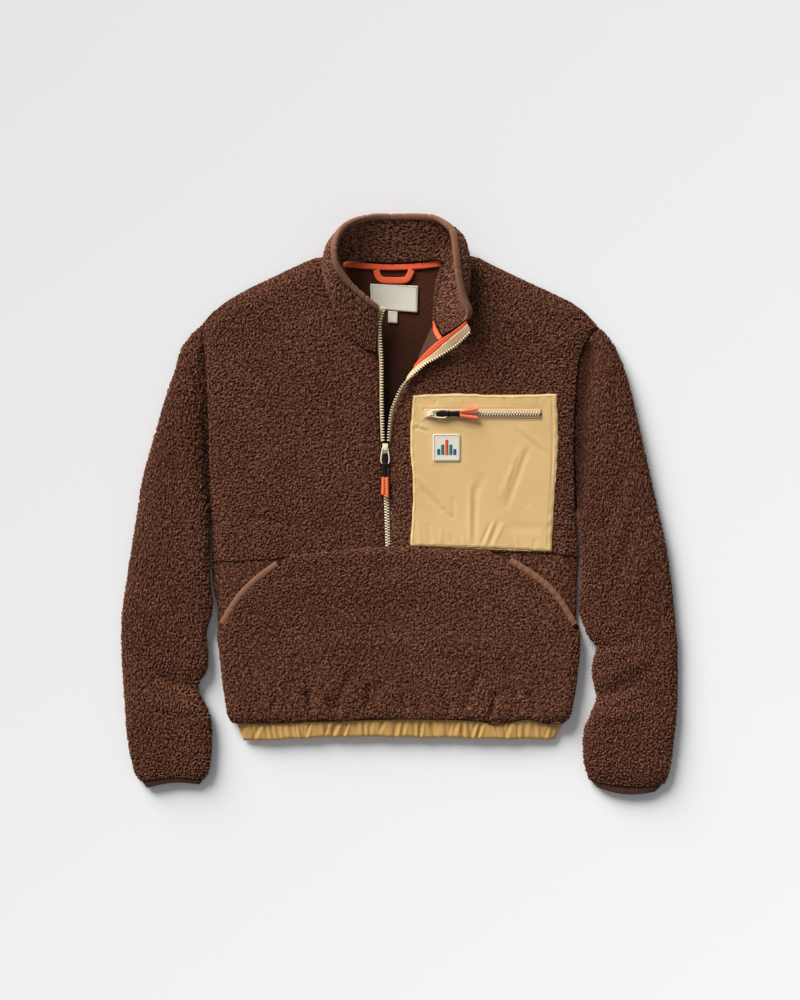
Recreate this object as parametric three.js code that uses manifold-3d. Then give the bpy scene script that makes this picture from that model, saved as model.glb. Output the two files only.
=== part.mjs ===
// Sherpa fleece pullover with a half zip, laid out flat on its back.
// Millimetres, +Z up. +X is the wearer's left, +Y points to the collar, the cloth rests on z = 0.
// Left and right in the names are the wearer's.

import * as THREE from 'three'
import * as BufferGeometryUtils from 'three/addons/utils/BufferGeometryUtils.js'
import Module from 'manifold-3d'

const wasm = await Module()
wasm.setup()

// Cloth thicknesses and layers
const SEAM_GAP = 0.4
const PILE_WALL = 6.2
const POCKET_WALL = 5.6
const FACING_WALL = 5.2
const LAYER_LIFT = 2.0
const LIFT_REACH = 22
const BACK_TOP = 6.0
const FRONT_UNDER = BACK_TOP + SEAM_GAP
const FRONT_TOP = FRONT_UNDER + LAYER_LIFT + PILE_WALL
const FACING_TOP = FRONT_UNDER + LAYER_LIFT + FACING_WALL
const SLEEVE_SLIT = 3.2
const NYLON_WALL = 1.4
const TAPE_WALL = 1.2

// Colours, roughness and metalness of the materials
const FINISHES = {
  pile: [0x5c3a2e, 0.95, 0],
  binding: [0x7d503c, 0.85, 0],
  nylon: [0xd9b77c, 0.45, 0],
  coral: [0xff6a3a, 0.7, 0],
  tape: [0xdfc09a, 0.8, 0],
  label: [0xe1dcc8, 0.85, 0],
  cord: [0x16130f, 0.6, 0],
  metal: [0xd8c48c, 0.3, 1],
}

// Outline of the body: rows of x, y
const SHOULDER_RIGHT = [
  [-275, 253], [-255, 274], [-218, 298], [-177, 318], [-130, 340], [-109, 346], [-92, 344],
]
const SHOULDER_LEFT = [
  [70, 343], [90, 347], [110, 345], [135, 332], [174, 314], [215, 295], [250, 276], [276, 251],
]
const SIDE_RIGHT = [
  [-262, -40], [-262, -79], [-260, -111], [-254, -148], [-254, -178], [-251, -209], [-247, -246], [-240, -293],
]
const SIDE_LEFT = [
  [248, -40], [250, -72], [248, -110], [247, -160], [252, -178], [248, -239], [240, -288],
]
const BOTTOM = [
  [-240, -293], [-229, -304], [-200, -303], [-100, -304], [0, -303], [100, -302], [200, -303], [229, -302],
  [240, -288],
]
const WAIST_SEAM = [
  [-262, -79], [-184, -75], [-97, -66], [-16, -59], [57, -62], [141, -65], [212, -67], [250, -72],
]
const BACK_NECK = [[-92, 344], [-60, 342], [-10, 341], [40, 342], [70, 343]]

// Neck seam and zip edge of each front panel, from the waist seam up to the shoulder: rows of x, y
const FRONT_EDGE_RIGHT = [
  [-22, -59], [-24, 10], [-26.5, 75], [-28.5, 110], [-29, 150], [-29.5, 200], [-36, 216], [-49, 225],
  [-62, 241], [-75, 264], [-81, 290], [-83, 316], [-92, 344],
]
const FRONT_EDGE_LEFT = [
  [-10, -59], [-12, 10], [-13.5, 75], [-10, 112], [-4.5, 132], [2, 152], [9, 167], [20, 185], [28, 202],
  [37, 219], [46, 233], [49, 258], [52, 280], [56, 300], [61, 320], [70, 343],
]

// Armholes: the sleeve's first section runs from the shoulder tip to the underarm, bowed towards the body
const ARMHOLE_RIGHT = { tip: [-275, 253], underarm: [-264, -5], bow: 3, peak: 0.35 }
const ARMHOLE_LEFT = { tip: [276, 251], underarm: [245, -5], bow: -20, peak: 0.22 }

// Sleeve sections: outer x, y, inner x, y, height, bow, place of the bow
const SLEEVE_RIGHT = [
  [-276, 253, -265, -5, 12.6, 3, 0.35],
  [-293, 236, -264.5, -22, 16, 2, 0.35],
  [-306, 215, -264.5, -39, 18, 1, 0.4],
  [-314, 187, -264, -57, 19, 0, 0.5],
  [-326, 153, -264, -76, 20, 0, 0.5],
  [-338, 111, -264, -95, 20.5, 0, 0.5],
  [-351, 66, -263, -117, 20.5, 0, 0.5],
  [-360, 31, -262, -137, 20, 0, 0.5],
  [-366, -10, -267, -156, 20, 0, 0.5],
  [-373, -52, -272, -181, 19, 0, 0.5],
  [-380, -99, -271.5, -204, 19.5, 0, 0.5],
  [-387, -148, -272, -229, 18.5, 0, 0.5],
  [-388.5, -190, -279, -248, 17.5, 0, 0.5],
  [-387, -229, -278, -265, 18.5, 0, 0.5],
  [-384, -270, -268, -283, 19.5, 0, 0.5],
  [-382, -302, -262, -305, 19.5, 0, 0.5],
  [-379, -332, -261.5, -331, 18.5, 0, 0.5],
  [-374, -357, -263, -355, 17.5, 0, 0.5],
  [-369, -376, -267, -374, 16, 3, 0.5],
  [-361, -386, -273, -383, 14, 5, 0.5],
]
const SLEEVE_LEFT = [
  [277.2, 251.5, 246.2, -5, 12.6, -19.4, 0.22],
  [296, 229, 248.5, -22, 16, -14, 0.22],
  [309, 203, 250.5, -40, 18, -8, 0.25],
  [320, 170, 252, -58, 19, -3, 0.3],
  [330, 128, 252.5, -76, 20, 0, 0.5],
  [341, 81, 252, -98, 20.5, 0, 0.5],
  [352, 31, 250.5, -126, 20.5, 0, 0.5],
  [362, -13, 250, -147, 20, 0, 0.5],
  [372, -57, 256, -166, 20, 0, 0.5],
  [379, -103, 262, -182, 19.5, 0, 0.5],
  [383.5, -148, 274, -198, 18.5, 0, 0.5],
  [387.5, -190, 270, -216, 19, 0, 0.5],
  [388.5, -229, 268, -236, 18, 0, 0.5],
  [388, -264, 274, -268, 18, 0, 0.5],
  [386.5, -297, 266, -291, 19.5, 0, 0.5],
  [383, -327, 257, -314, 19.5, 0, 0.5],
  [380, -352, 255.5, -340, 18.5, 0, 0.5],
  [376, -374, 258, -364, 17.5, 2, 0.5],
  [370, -389, 264, -383, 14, 6, 0.5],
]
const CUFF_RIGHT = [[-359, -386.4, -275, -383.5, 11.5, 5, 0.5], [-353, -395, -279, -390, 11, 5, 0.5]]
const CUFF_LEFT = [[367, -389.8, 267, -384.1, 11.5, 6, 0.5], [357, -400, 276, -394, 11, 6.5, 0.5]]
const CUFF_WALL = 4
const CUFF_SLIT = 3.0

// Large soft forms of the front: x, y of both ends, half width, height (negative for a trough)
const FRONT_FOLDS = [
  [-215, 200, -165, 60, 26, 1.6],
  [-120, 250, -95, 120, 24, 1.2],
  [-205, -20, -90, -35, 16, -1.4],
  [150, 265, 215, 225, 22, 1.6],
  [110, 300, 90, 230, 14, -1.4],
]
const POCKET_FOLDS = [
  [-120, -268, -145, -215, 12, -2.4],
  [-88, -282, -70, -238, 10, -2.2],
  [-40, -285, -30, -252, 11, -1.8],
  [30, -284, 18, -246, 10, -1.6],
  [92, -280, 112, -236, 11, -2.0],
  [168, -282, 150, -232, 12, -2.6],
  [-190, -270, -205, -225, 14, -1.6],
  [-150, -120, 120, -112, 34, 1.4],
  [-90, -190, 140, -200, 30, 1.2],
]
const NYLON_FOLDS = [
  [40, 110, 90, 20, 9, 1.0],
  [70, 40, 150, -40, 10, -0.7],
  [120, 100, 180, 10, 10, 0.9],
  [185, 110, 160, 30, 8, -0.6],
  [30, 20, 60, -40, 9, 0.8],
]

// Hand pocket across the lower front: outer edge of each mouth, from the side up to the waist seam
const MOUTH_RIGHT = [[-252, -166], [-231, -132], [-212, -110], [-192, -93], [-172, -79]]
const MOUTH_LEFT = [[249, -168], [228, -133], [206, -108], [180, -89], [156, -74]]
const MOUTH_BINDING_WIDTH = 7

// Collar stations from the right zip end round the back to the left one: seam x, y, z, top x, y, z, bulge
const COLLAR = [
  [-33, 213, 17, -29, 277, 33, 3],
  [-50, 220, 17, -44, 288, 38, 5],
  [-67, 237, 17, -63, 302, 43, 7],
  [-80, 262, 17, -80, 317, 48, 10],
  [-86, 290, 17, -90, 334, 52, 13],
  [-87, 316, 18, -93, 354, 54, 15],
  [-84, 334, 17, -89, 376, 50, 12],
  [-68, 341, 13.5, -73, 395, 43, 9],
  [-42, 340, 10.5, -40, 406, 33, 4],
  [-10, 338.5, 10.5, -8, 408, 28, 2],
  [26, 340, 10.5, 28, 407, 31, 4],
  [52, 342, 13.5, 54, 400, 38, 11],
  [68, 335, 18, 74, 378, 48, 20],
  [68, 318, 18.5, 79, 347, 54, 25],
  [63, 300, 18.5, 82, 318, 55, 25],
  [58, 280, 18.5, 89, 292, 52, 17],
  [55, 258, 19, 97, 270, 47, 9],
  [60, 237, 20.5, 94, 257, 42, 2],
]
const COLLAR_CENTRE = [-10, 290]
const COLLAR_WALL = 6
const COLLAR_BINDING = { start: 2.4, shoulder: 5.4, depth: 7, thickness: 7 }

// Open zip edges from the slider up to the collar: teeth x, y, z, cloth fold x, y, z
const OPEN_EDGE_RIGHT = [
  [-24.3, 88, 15, -25, 88, 7.2],
  [-25.2, 112, 15.5, -26, 112, 7.2],
  [-26, 150, 16, -26.8, 150, 7.4],
  [-26.2, 198, 16.5, -27.2, 198, 7.8],
  [-27, 216, 19, -30.5, 217, 11],
  [-28.5, 238, 23, -31.5, 239, 15],
  [-28, 256, 27, -30.5, 258, 19],
  [-21, 275, 31, -25, 276, 23],
]
// The left edge twists: at its foot the teeth point into the gap, further up it is turned outwards
const OPEN_EDGE_LEFT = [
  [-14.5, 88, 15.5, -10.4, 88, 12.1],
  [-13, 110, 16.4, -8.9, 109.5, 12.2],
  [-9.5, 133, 17.6, -5.2, 131.5, 12.6],
  [-0.5, 156, 19.2, 2.6, 154, 12.5],
  [6.5, 168.6, 20.6, 8.4, 167, 12],
  [14, 177.5, 21.6, 11.4, 179.6, 15.2],
  [25.5, 188.2, 22.4, 21, 191.2, 18.6],
  [37.2, 197.7, 23.4, 33.9, 201.6, 21.6],
  [50, 204.7, 24.6, 46, 210.4, 24.2],
  [68.6, 216.2, 27, 62.5, 225, 28],
  [80.3, 224.3, 31.5, 74.3, 234.4, 34],
  [98.5, 241.5, 42, 93.5, 250, 43.5],
]
// Coral binding beside that tape, and the turned facing under it: outer x, y, z, inner x, y, z
const EDGE_CORAL = [
  [21, 191.2, 18.8, 19.3, 193, 18.4],
  [33.9, 201.6, 21.6, 28.6, 204.2, 21.2],
  [46, 210.4, 24.2, 39.5, 215.5, 24],
  [55, 218.5, 26.3, 49.5, 224.5, 26.5],
  [62.5, 225, 28, 58.8, 231, 28.5],
  [74.3, 234.4, 34, 71.5, 238.6, 34.8],
  [85, 243, 39.4, 83, 246.8, 40.2],
  [93.5, 250, 43.5, 91.9, 253.4, 44.5],
]
const EDGE_FACING = [
  [23, 194, 18.2, 18.6, 189.6, 15.4],
  [31, 204, 20.6, 22.4, 197, 14.6],
  [40, 213, 22.9, 28, 212.5, 14.4],
  [47, 221, 25, 35, 228, 14.4],
  [53, 228.2, 26.4, 43.6, 247, 15],
]
const STEPS_PER_STATION = 3
const ZIP_TAPE_WIDTH = 8.4
const CORAL_GAP = 0.5
const ON_EDGE = [0, TAPE_WALL]
const MIDDLED = [-TAPE_WALL / 2, TAPE_WALL / 2]
const TURNED_EDGE = [-3.5, -1.1]

// Zips, sliders and pulls
const CLOSED_ZIP = { top: [-20, 72], bottom: [-16, -57.5], width: 10.8, z: 9.4 }
const FRONT_SLIDER = { x: -20, y: 79, base: 12.2, turn: -Math.PI / 2 }
const POCKET_SLIDER = { x: 44, y: 127, base: 18.1, turn: 0 }
const SLIDER = { length: 14, width: 7.6, plate: 2.6, bar: 3.9, post: 1.2, opening: 2.5, top: 6.0, arch: 4.2 }
const BAIL = { length: 21.4, halfWidth: 5.1, wire: 0.8, stations: 24 }
const GRIP = { length: 17, halfWidth: 4.4, halfHeight: 2 }
const CORD_END = { lengths: [25.5, 29], radius: 2.4, splay: { front_pull: 0.3, pocket_pull: 3.6 } }

// Pieces on the chest and inside the neck
const CHEST_POCKET = {
  bottom: [[15, -57], [70, -58.5], [140, -61], [212, -65]],
  top: [[19, 153], [80, 155], [150, 153], [219, 155]],
  right: [[15, -57], [19, 20], [15, 90], [19, 153]],
  left: [[212, -65], [216, 10], [221, 90], [219, 155]],
}
const POCKET_ZIP = { from: [34, 120], to: [198, 134] }
const BADGE = { centre: [65.5, 80], size: 38, corner: 3, thickness: 1.0 }
const NECK_LABEL = [[-41, 309], [26, 306], [25, 269], [-40, 274]]
const SIZE_TAB = [[-16, 271], [-2.5, 270], [-3, 254], [-16, 254.5]]
const NECK_TAPE = { route: [[-77, 337], [-45, 333.5], [-10, 332], [25, 333.5], [56, 337]], width: 8 }
const NECK_TAPE_LEFT = { route: [[47.8, 254.7, 13.6], [49.5, 245, 16], [52.3, 237.6, 19.6], [55.2, 232, 23]], width: 5 }
const HANGER_LOOP = [
  [-38.5, 328.3], [-35, 318], [-26, 309.5], [9, 309.5], [18, 318], [22, 328.4], [12, 328], [11, 318.5],
  [-26, 318.5], [-27, 328],
]

// Hem band: gathered nylon tube under the body
const HEM = { halfWidth: 226, bottom: -331, height: 9.2, slit: 3.2, columns: 88, gather: 1.1 }

const mix = (a, b, t) => a + (b - a) * t
const ease = (from, to, x) => {
  const t = Math.min(1, Math.max(0, (x - from) / (to - from)))
  return t * t * (3 - 2 * t)
}

// A smooth route through a table's rows, asked by share of its length
function route(rows) {
  const points = rows.map(([x, y, z = 0]) => new THREE.Vector3(x, y, z))
  return new THREE.CatmullRomCurve3(points, false, 'catmullrom', 0.5)
}

// Even steps over 0..1 with closer ones at the ends that are asked for
function steps(count, start = [], end = []) {
  const middle = Array.from({ length: count + 1 }, (_, i) => i / count).slice(1, -1)
  return [0, ...start, ...middle, ...end.map(s => 1 - s).reverse(), 1]
}

// Coons patch: blends two routes across and two routes along
function coons(bottom, top, left, right) {
  const [b, t, l, r] = [bottom, top, left, right].map(route)
  return (u, v) => {
    const across = b.getPointAt(u).multiplyScalar(1 - v).add(t.getPointAt(u).multiplyScalar(v))
    const along = l.getPointAt(v).multiplyScalar(1 - u).add(r.getPointAt(v).multiplyScalar(u))
    const low = b.getPointAt(0).multiplyScalar(1 - u).add(b.getPointAt(1).multiplyScalar(u))
    const high = t.getPointAt(0).multiplyScalar(1 - u).add(t.getPointAt(1).multiplyScalar(u))
    const corners = low.multiplyScalar(1 - v).add(high.multiplyScalar(v))
    return across.add(along).sub(corners)
  }
}

// Distance from a point to the nearest of several polylines
function distance(lines, x, y) {
  let nearest = Infinity
  for (const line of lines) {
    for (let i = 0; i < line.length - 1; i++) {
      const [ax, ay] = line[i]
      const dx = line[i + 1][0] - ax
      const dy = line[i + 1][1] - ay
      const t = Math.min(1, Math.max(0, ((x - ax) * dx + (y - ay) * dy) / (dx * dx + dy * dy)))
      nearest = Math.min(nearest, Math.hypot(x - ax - t * dx, y - ay - t * dy))
    }
  }
  return nearest
}

// Quarter-round fall of the surface close to an edge
function fall(d, radius, depth) {
  const t = Math.max(0, 1 - d / radius)
  return depth * (1 - Math.sqrt(Math.max(0, 1 - t * t)))
}

// Sum of the soft troughs and ridges at a point
function relief(folds, x, y) {
  let height = 0
  for (const [ax, ay, bx, by, halfWidth, size] of folds) {
    const dx = bx - ax
    const dy = by - ay
    const t = ((x - ax) * dx + (y - ay) * dy) / (dx * dx + dy * dy)
    const inside = Math.min(1, Math.max(0, t))
    const away = Math.hypot(x - ax - inside * dx, y - ay - inside * dy)
    height += size * (1 - ease(0, halfWidth, away))
  }
  return height
}

// A mesh from vertices and triangles, with its faces turned outwards
function piece(name, finish, vertices, triangles) {
  let volume = 0
  for (const [a, b, c] of triangles) {
    const [p, q, r] = [vertices[a], vertices[b], vertices[c]]
    volume += p[0] * (q[1] * r[2] - q[2] * r[1])
    volume -= p[1] * (q[0] * r[2] - q[2] * r[0])
    volume += p[2] * (q[0] * r[1] - q[1] * r[0])
  }
  const outward = volume > 0 ? triangles : triangles.map(([a, b, c]) => [a, c, b])
  const geometry = new THREE.BufferGeometry()
  geometry.setAttribute('position', new THREE.Float32BufferAttribute(vertices.flat(), 3))
  geometry.setIndex(outward.flat())
  return named(name, finish, geometry)
}

function named(name, finish, geometry) {
  const [color, roughness, metalness] = FINISHES[finish]
  geometry.computeVertexNormals()
  const mesh = new THREE.Mesh(geometry, new THREE.MeshStandardMaterial({ color, roughness, metalness }))
  mesh.name = name
  return mesh
}

// A wall between two grids of points; with wrap, its first index runs round a ring
function wall(name, finish, outside, inside, wrap = false) {
  const across = outside.length
  const along = outside[0].length
  const vertices = [...outside.flat(), ...inside.flat()]
  const out = (i, j) => (i % across) * along + j
  const inn = (i, j) => across * along + out(i, j)
  const triangles = []
  const quad = (a, b, c, d) => triangles.push([a, b, c], [a, c, d])
  const last = wrap ? across : across - 1
  for (let i = 0; i < last; i++) {
    for (let j = 0; j < along - 1; j++) {
      quad(out(i, j), out(i + 1, j), out(i + 1, j + 1), out(i, j + 1))
      quad(inn(i, j), inn(i, j + 1), inn(i + 1, j + 1), inn(i + 1, j))
    }
    quad(out(i, 0), inn(i, 0), inn(i + 1, 0), out(i + 1, 0))
    quad(out(i, along - 1), out(i + 1, along - 1), inn(i + 1, along - 1), inn(i, along - 1))
  }
  if (!wrap) {
    for (let j = 0; j < along - 1; j++) {
      quad(out(0, j), out(0, j + 1), inn(0, j + 1), inn(0, j))
      quad(out(across - 1, j), inn(across - 1, j), inn(across - 1, j + 1), out(across - 1, j + 1))
    }
  }
  return piece(name, finish, vertices, triangles)
}

// A solid bar through rings of points, closed by flat ends or joined into a loop
function bar(name, finish, rings, loop = false) {
  const sides = rings[0].length
  const vertices = rings.flat()
  const triangles = []
  const at = (i, j) => (i % rings.length) * sides + (j % sides)
  const last = loop ? rings.length : rings.length - 1
  for (let i = 0; i < last; i++) {
    for (let j = 0; j < sides; j++) {
      triangles.push([at(i, j), at(i + 1, j), at(i + 1, j + 1)], [at(i, j), at(i + 1, j + 1), at(i, j + 1)])
    }
  }
  if (!loop) {
    for (let j = 1; j < sides - 1; j++) {
      triangles.push([at(0, 0), at(0, j), at(0, j + 1)])
      triangles.push([at(rings.length - 1, 0), at(rings.length - 1, j + 1), at(rings.length - 1, j)])
    }
  }
  return piece(name, finish, vertices, triangles)
}

// A panel over a patch: its top and underside are heights over x, y
function panel(name, finish, patch, us, vs, top, under) {
  const grid = us.map(u => vs.map(v => patch(u, v)))
  const raise = height => grid.map(line => line.map(p => [p.x, p.y, height(p.x, p.y)]))
  return wall(name, finish, raise(top), raise(under))
}

// A flat plate with a drawn outline
function plate(name, finish, outline, base, thickness) {
  const shape = new THREE.Shape(outline.map(([x, y]) => new THREE.Vector2(x, y)))
  const geometry = new THREE.ExtrudeGeometry(shape, { depth: thickness, bevelEnabled: false })
  geometry.translate(0, 0, base)
  return named(name, finish, geometry)
}

// Points of the armhole line from the shoulder tip to the underarm
function bowShape(share, peak) {
  const turn = share < peak ? share / peak : (1 - share) / (1 - peak)
  return Math.sin(turn * Math.PI / 2)
}

function bowed(outer, inner, bow, peak, share) {
  const dx = inner[0] - outer[0]
  const dy = inner[1] - outer[1]
  const length = Math.hypot(dx, dy)
  const push = bow * bowShape(share, peak)
  return [outer[0] + dx * share - push * dy / length, outer[1] + dy * share + push * dx / length]
}

function armholeRows({ tip, underarm, bow, peak }) {
  return [0, 0.06, 0.14, 0.22, 0.34, 0.5, 0.68, 0.84, 1].map(s => bowed(tip, underarm, bow, peak, s))
}

const sampled = (rows, count) => route(rows).getSpacedPoints(count).map(p => [p.x, p.y])

const ARM_RIGHT = armholeRows(ARMHOLE_RIGHT)
const ARM_LEFT = armholeRows(ARMHOLE_LEFT)
const ARM_LINES = [ARM_RIGHT, ARM_LEFT]
const RIM_LINES = [SHOULDER_RIGHT, SHOULDER_LEFT, [ARM_RIGHT.at(-1), ...SIDE_RIGHT], [ARM_LEFT.at(-1), ...SIDE_LEFT]]
const OPENING_LINES = [sampled(FRONT_EDGE_RIGHT, 40), sampled(FRONT_EDGE_LEFT, 40)]

// Whole sides from the bottom corner up to the shoulder tip
const FULL_RIGHT = [...SIDE_RIGHT].reverse().concat([...ARM_RIGHT].reverse())
const FULL_LEFT = [...SIDE_LEFT].reverse().concat([...ARM_LEFT].reverse())
const above = (rows, y) => rows.filter(row => row[1] > y)
const below = (rows, y) => rows.filter(row => row[1] < y)

// Height of the front layer's underside over the back
function frontUnder(x, y) {
  const d = Math.min(distance(RIM_LINES, x, y), distance(ARM_LINES, x, y), distance(OPENING_LINES, x, y))
  return FRONT_UNDER + LAYER_LIFT * ease(0, LIFT_REACH, d)
}

function frontTop(x, y) {
  const rim = fall(distance(RIM_LINES, x, y), 20, 4.4)
  const arm = fall(distance(ARM_LINES, x, y), 12, 2.4)
  const opening = fall(distance(OPENING_LINES, x, y), 10, 2.8)
  return frontUnder(x, y) + PILE_WALL + relief(FRONT_FOLDS, x, y) - Math.max(rim, arm, opening)
}

function buildBack() {
  const top = [...SHOULDER_RIGHT, ...BACK_NECK.slice(1, -1), ...SHOULDER_LEFT]
  const patch = coons(BOTTOM, top, FULL_RIGHT, FULL_LEFT)
  const rimDistance = (x, y) => distance([...RIM_LINES, BOTTOM], x, y)
  const surface = (x, y) => BACK_TOP - fall(rimDistance(x, y), 8, 0.8)
  const underside = (x, y) => fall(rimDistance(x, y), 7, 2.2)
  return panel('back_panel', 'pile', patch, steps(12, [0.015], [0.015]),
    steps(14, [0.015], [0.015]), surface, underside)
}

function buildFronts() {
  const seam = route(WAIST_SEAM)
  const cut = (from, to) => Array.from({ length: 13 }, (_, i) => seam.getPointAt(mix(from, to, i / 12)).toArray())
  const shareAt = x => {
    let [low, high] = [0, 1]
    for (let i = 0; i < 30; i++) {
      const middle = (low + high) / 2
      if (seam.getPointAt(middle).x < x) low = middle
      else high = middle
    }
    return low
  }
  const seamRight = cut(0, shareAt(FRONT_EDGE_RIGHT[0][0]))
  const seamLeft = cut(shareAt(FRONT_EDGE_LEFT[0][0]), 1)
  const sideRight = [seamRight[0], ...above(FULL_RIGHT, -78)]
  const sideLeft = [seamLeft.at(-1), ...above(FULL_LEFT, -71)]
  const edgeRight = [seamRight.at(-1), ...FRONT_EDGE_RIGHT.slice(1)]
  const edgeLeft = [seamLeft[0], ...FRONT_EDGE_LEFT.slice(1)]
  const rightPatch = coons(seamRight, SHOULDER_RIGHT, sideRight, edgeRight)
  const leftPatch = coons(seamLeft, SHOULDER_LEFT, edgeLeft, sideLeft)
  const side = [0.015, 0.045]
  const zip = [0.015, 0.035]
  return [
    panel('front_right', 'pile', rightPatch, steps(10, side, zip), steps(14, [], [0.015, 0.04]),
      frontTop, frontUnder),
    panel('front_left', 'pile', leftPatch, steps(10, zip, side), steps(16, [], [0.015, 0.04]),
      frontTop, frontUnder),
  ]
}

// The lower front: a panel that shows in the pocket mouths, and the hand pocket on it
function buildLowerFront() {
  const drop = (rows, by) => rows.map(([x, y]) => [x, y - by])
  const top = drop(WAIST_SEAM, SEAM_GAP)
  const right = [...below(FULL_RIGHT, -81), top[0]]
  const left = [...below(FULL_LEFT, -74), top.at(-1)]
  const patch = coons(BOTTOM, top, right, left)
  const rimDistance = (x, y) => distance(RIM_LINES, x, y)
  const under = (x, y) => FRONT_UNDER + LAYER_LIFT * ease(0, LIFT_REACH, rimDistance(x, y))
  const surface = (x, y) => Math.min(
    under(x, y) + FACING_WALL - fall(rimDistance(x, y), 30, 4.0),
    FACING_TOP - fall(distance([BOTTOM], x, y), 22, 3.0),
  )
  const facing = panel('front_lower', 'pile', patch, steps(14, [0.015, 0.035], [0.015, 0.035]),
    steps(7, [0.03], [0.03]), surface, under)

  const mouthRight = inset(MOUTH_RIGHT, -MOUTH_BINDING_WIDTH)
  const mouthLeft = inset(MOUTH_LEFT, MOUTH_BINDING_WIDTH)
  const startX = mouthRight.at(-1)[0]
  const endX = mouthLeft.at(-1)[0]
  const seamPart = drop(sampled(WAIST_SEAM, 24), 3 * SEAM_GAP).filter(([x]) => x > startX + 12 && x < endX - 12)
  const pocketTop = [mouthRight.at(-1), ...seamPart, mouthLeft.at(-1)]
  const pocketRight = [...below(FULL_RIGHT, -176), ...mouthRight]
  const pocketLeft = [...below(FULL_LEFT, -176), ...mouthLeft]
  const pocketPatch = coons(BOTTOM, pocketTop, pocketRight, pocketLeft)
  const pocketUnder = (x, y) => FACING_TOP + SEAM_GAP
    - Math.max(fall(rimDistance(x, y), 14, 2.6), fall(distance([BOTTOM], x, y), 12, 2.0))
  const pocketSurface = (x, y) => {
    const rim = fall(rimDistance(x, y), 18, 4.0)
    const hem = fall(distance([BOTTOM], x, y), 14, 4.2)
    const edge = fall(distance([sampled(pocketTop, 30)], x, y), 12, 3.4)
    const mouth = fall(distance([mouthRight, mouthLeft], x, y), 8, 1.4)
    return FACING_TOP + SEAM_GAP + POCKET_WALL + relief(POCKET_FOLDS, x, y)
      - Math.max(rim, hem, edge, mouth)
  }
  const pocket = panel('hand_pocket', 'pile', pocketPatch, steps(22, [0.012, 0.026], [0.012, 0.026]),
    steps(9, [0.02, 0.05], [0.02, 0.05]), pocketSurface, pocketUnder)
  return [facing, pocket, mouthBinding('hand_pocket_binding_right', MOUTH_RIGHT, -1),
    mouthBinding('hand_pocket_binding_left', MOUTH_LEFT, 1)]
}

// A table's rows moved sideways by a distance
function inset(rows, by) {
  const line = route(rows)
  return rows.map((_, i) => {
    const at = line.getPoint(i / (rows.length - 1))
    const way = line.getTangent(i / (rows.length - 1))
    return [at.x - way.y * by, at.y + way.x * by]
  })
}

function mouthBinding(name, rows, side) {
  const line = route(rows)
  const base = FACING_TOP + SEAM_GAP
  const rings = steps(16).map(t => {
    const at = line.getPointAt(mix(0.13, 0.95, t))
    const way = line.getTangentAt(mix(0.13, 0.95, t))
    const out = (d, z) => [at.x - way.y * side * d, at.y + way.x * side * d, z]
    const width = MOUTH_BINDING_WIDTH - 2 * SEAM_GAP
    return [out(0, base), out(width, base), out(width, base + 3.4), out(width / 2, base + 4.4), out(0, base + 3)]
  })
  return bar(name, 'binding', rings)
}

// Ring of points round a flattened tube's section, resting flat on the floor
function tubeRing([ox, oy, ix, iy, height, bow, peak], inward, low, high, sides) {
  const length = Math.hypot(ix - ox, iy - oy)
  const start = inward / length
  const middle = (low + high) / 2
  const squareness = 0.62
  return Array.from({ length: sides }, (_, k) => {
    const turn = 2 * Math.PI * (k + 0.5) / sides
    const c = Math.cos(turn)
    const s = Math.sin(turn)
    const side = Math.sign(c) * Math.abs(c) ** squareness
    const lift = Math.min(1, 1.05 * Math.abs(s) ** squareness) * Math.sign(s)
    const share = mix(start, 1 - start, (1 - side) / 2)
    const [x, y] = bowed([ox, oy], [ix, iy], bow, peak, share)
    return [x, y, middle + lift * (high - low) / 2]
  })
}

function tube(name, finish, sections, wallOf, slitOf, sides) {
  const outside = sections.map(row => tubeRing(row, 0, 0, row[4], sides))
  const inside = sections.map(row => {
    const slit = slitOf(row)
    const low = (row[4] - slit) / 2
    return tubeRing(row, wallOf(row), low, low + slit, sides)
  })
  const turnOver = rings => rings[0].map((_, k) => rings.map(ring => ring[k]))
  return wall(name, finish, turnOver(outside), turnOver(inside), true)
}

function buildSleeves() {
  const sides = 18
  const sleeveSlit = row => Math.min(SLEEVE_SLIT, row[4] - 11)
  return [
    tube('sleeve_right', 'pile', SLEEVE_RIGHT, () => 8, sleeveSlit, sides),
    tube('sleeve_left', 'pile', SLEEVE_LEFT, () => 8, sleeveSlit, sides),
    tube('cuff_binding_right', 'binding', CUFF_RIGHT, () => CUFF_WALL, () => CUFF_SLIT, sides),
    tube('cuff_binding_left', 'binding', CUFF_LEFT, () => CUFF_WALL, () => CUFF_SLIT, sides),
  ]
}

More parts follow.
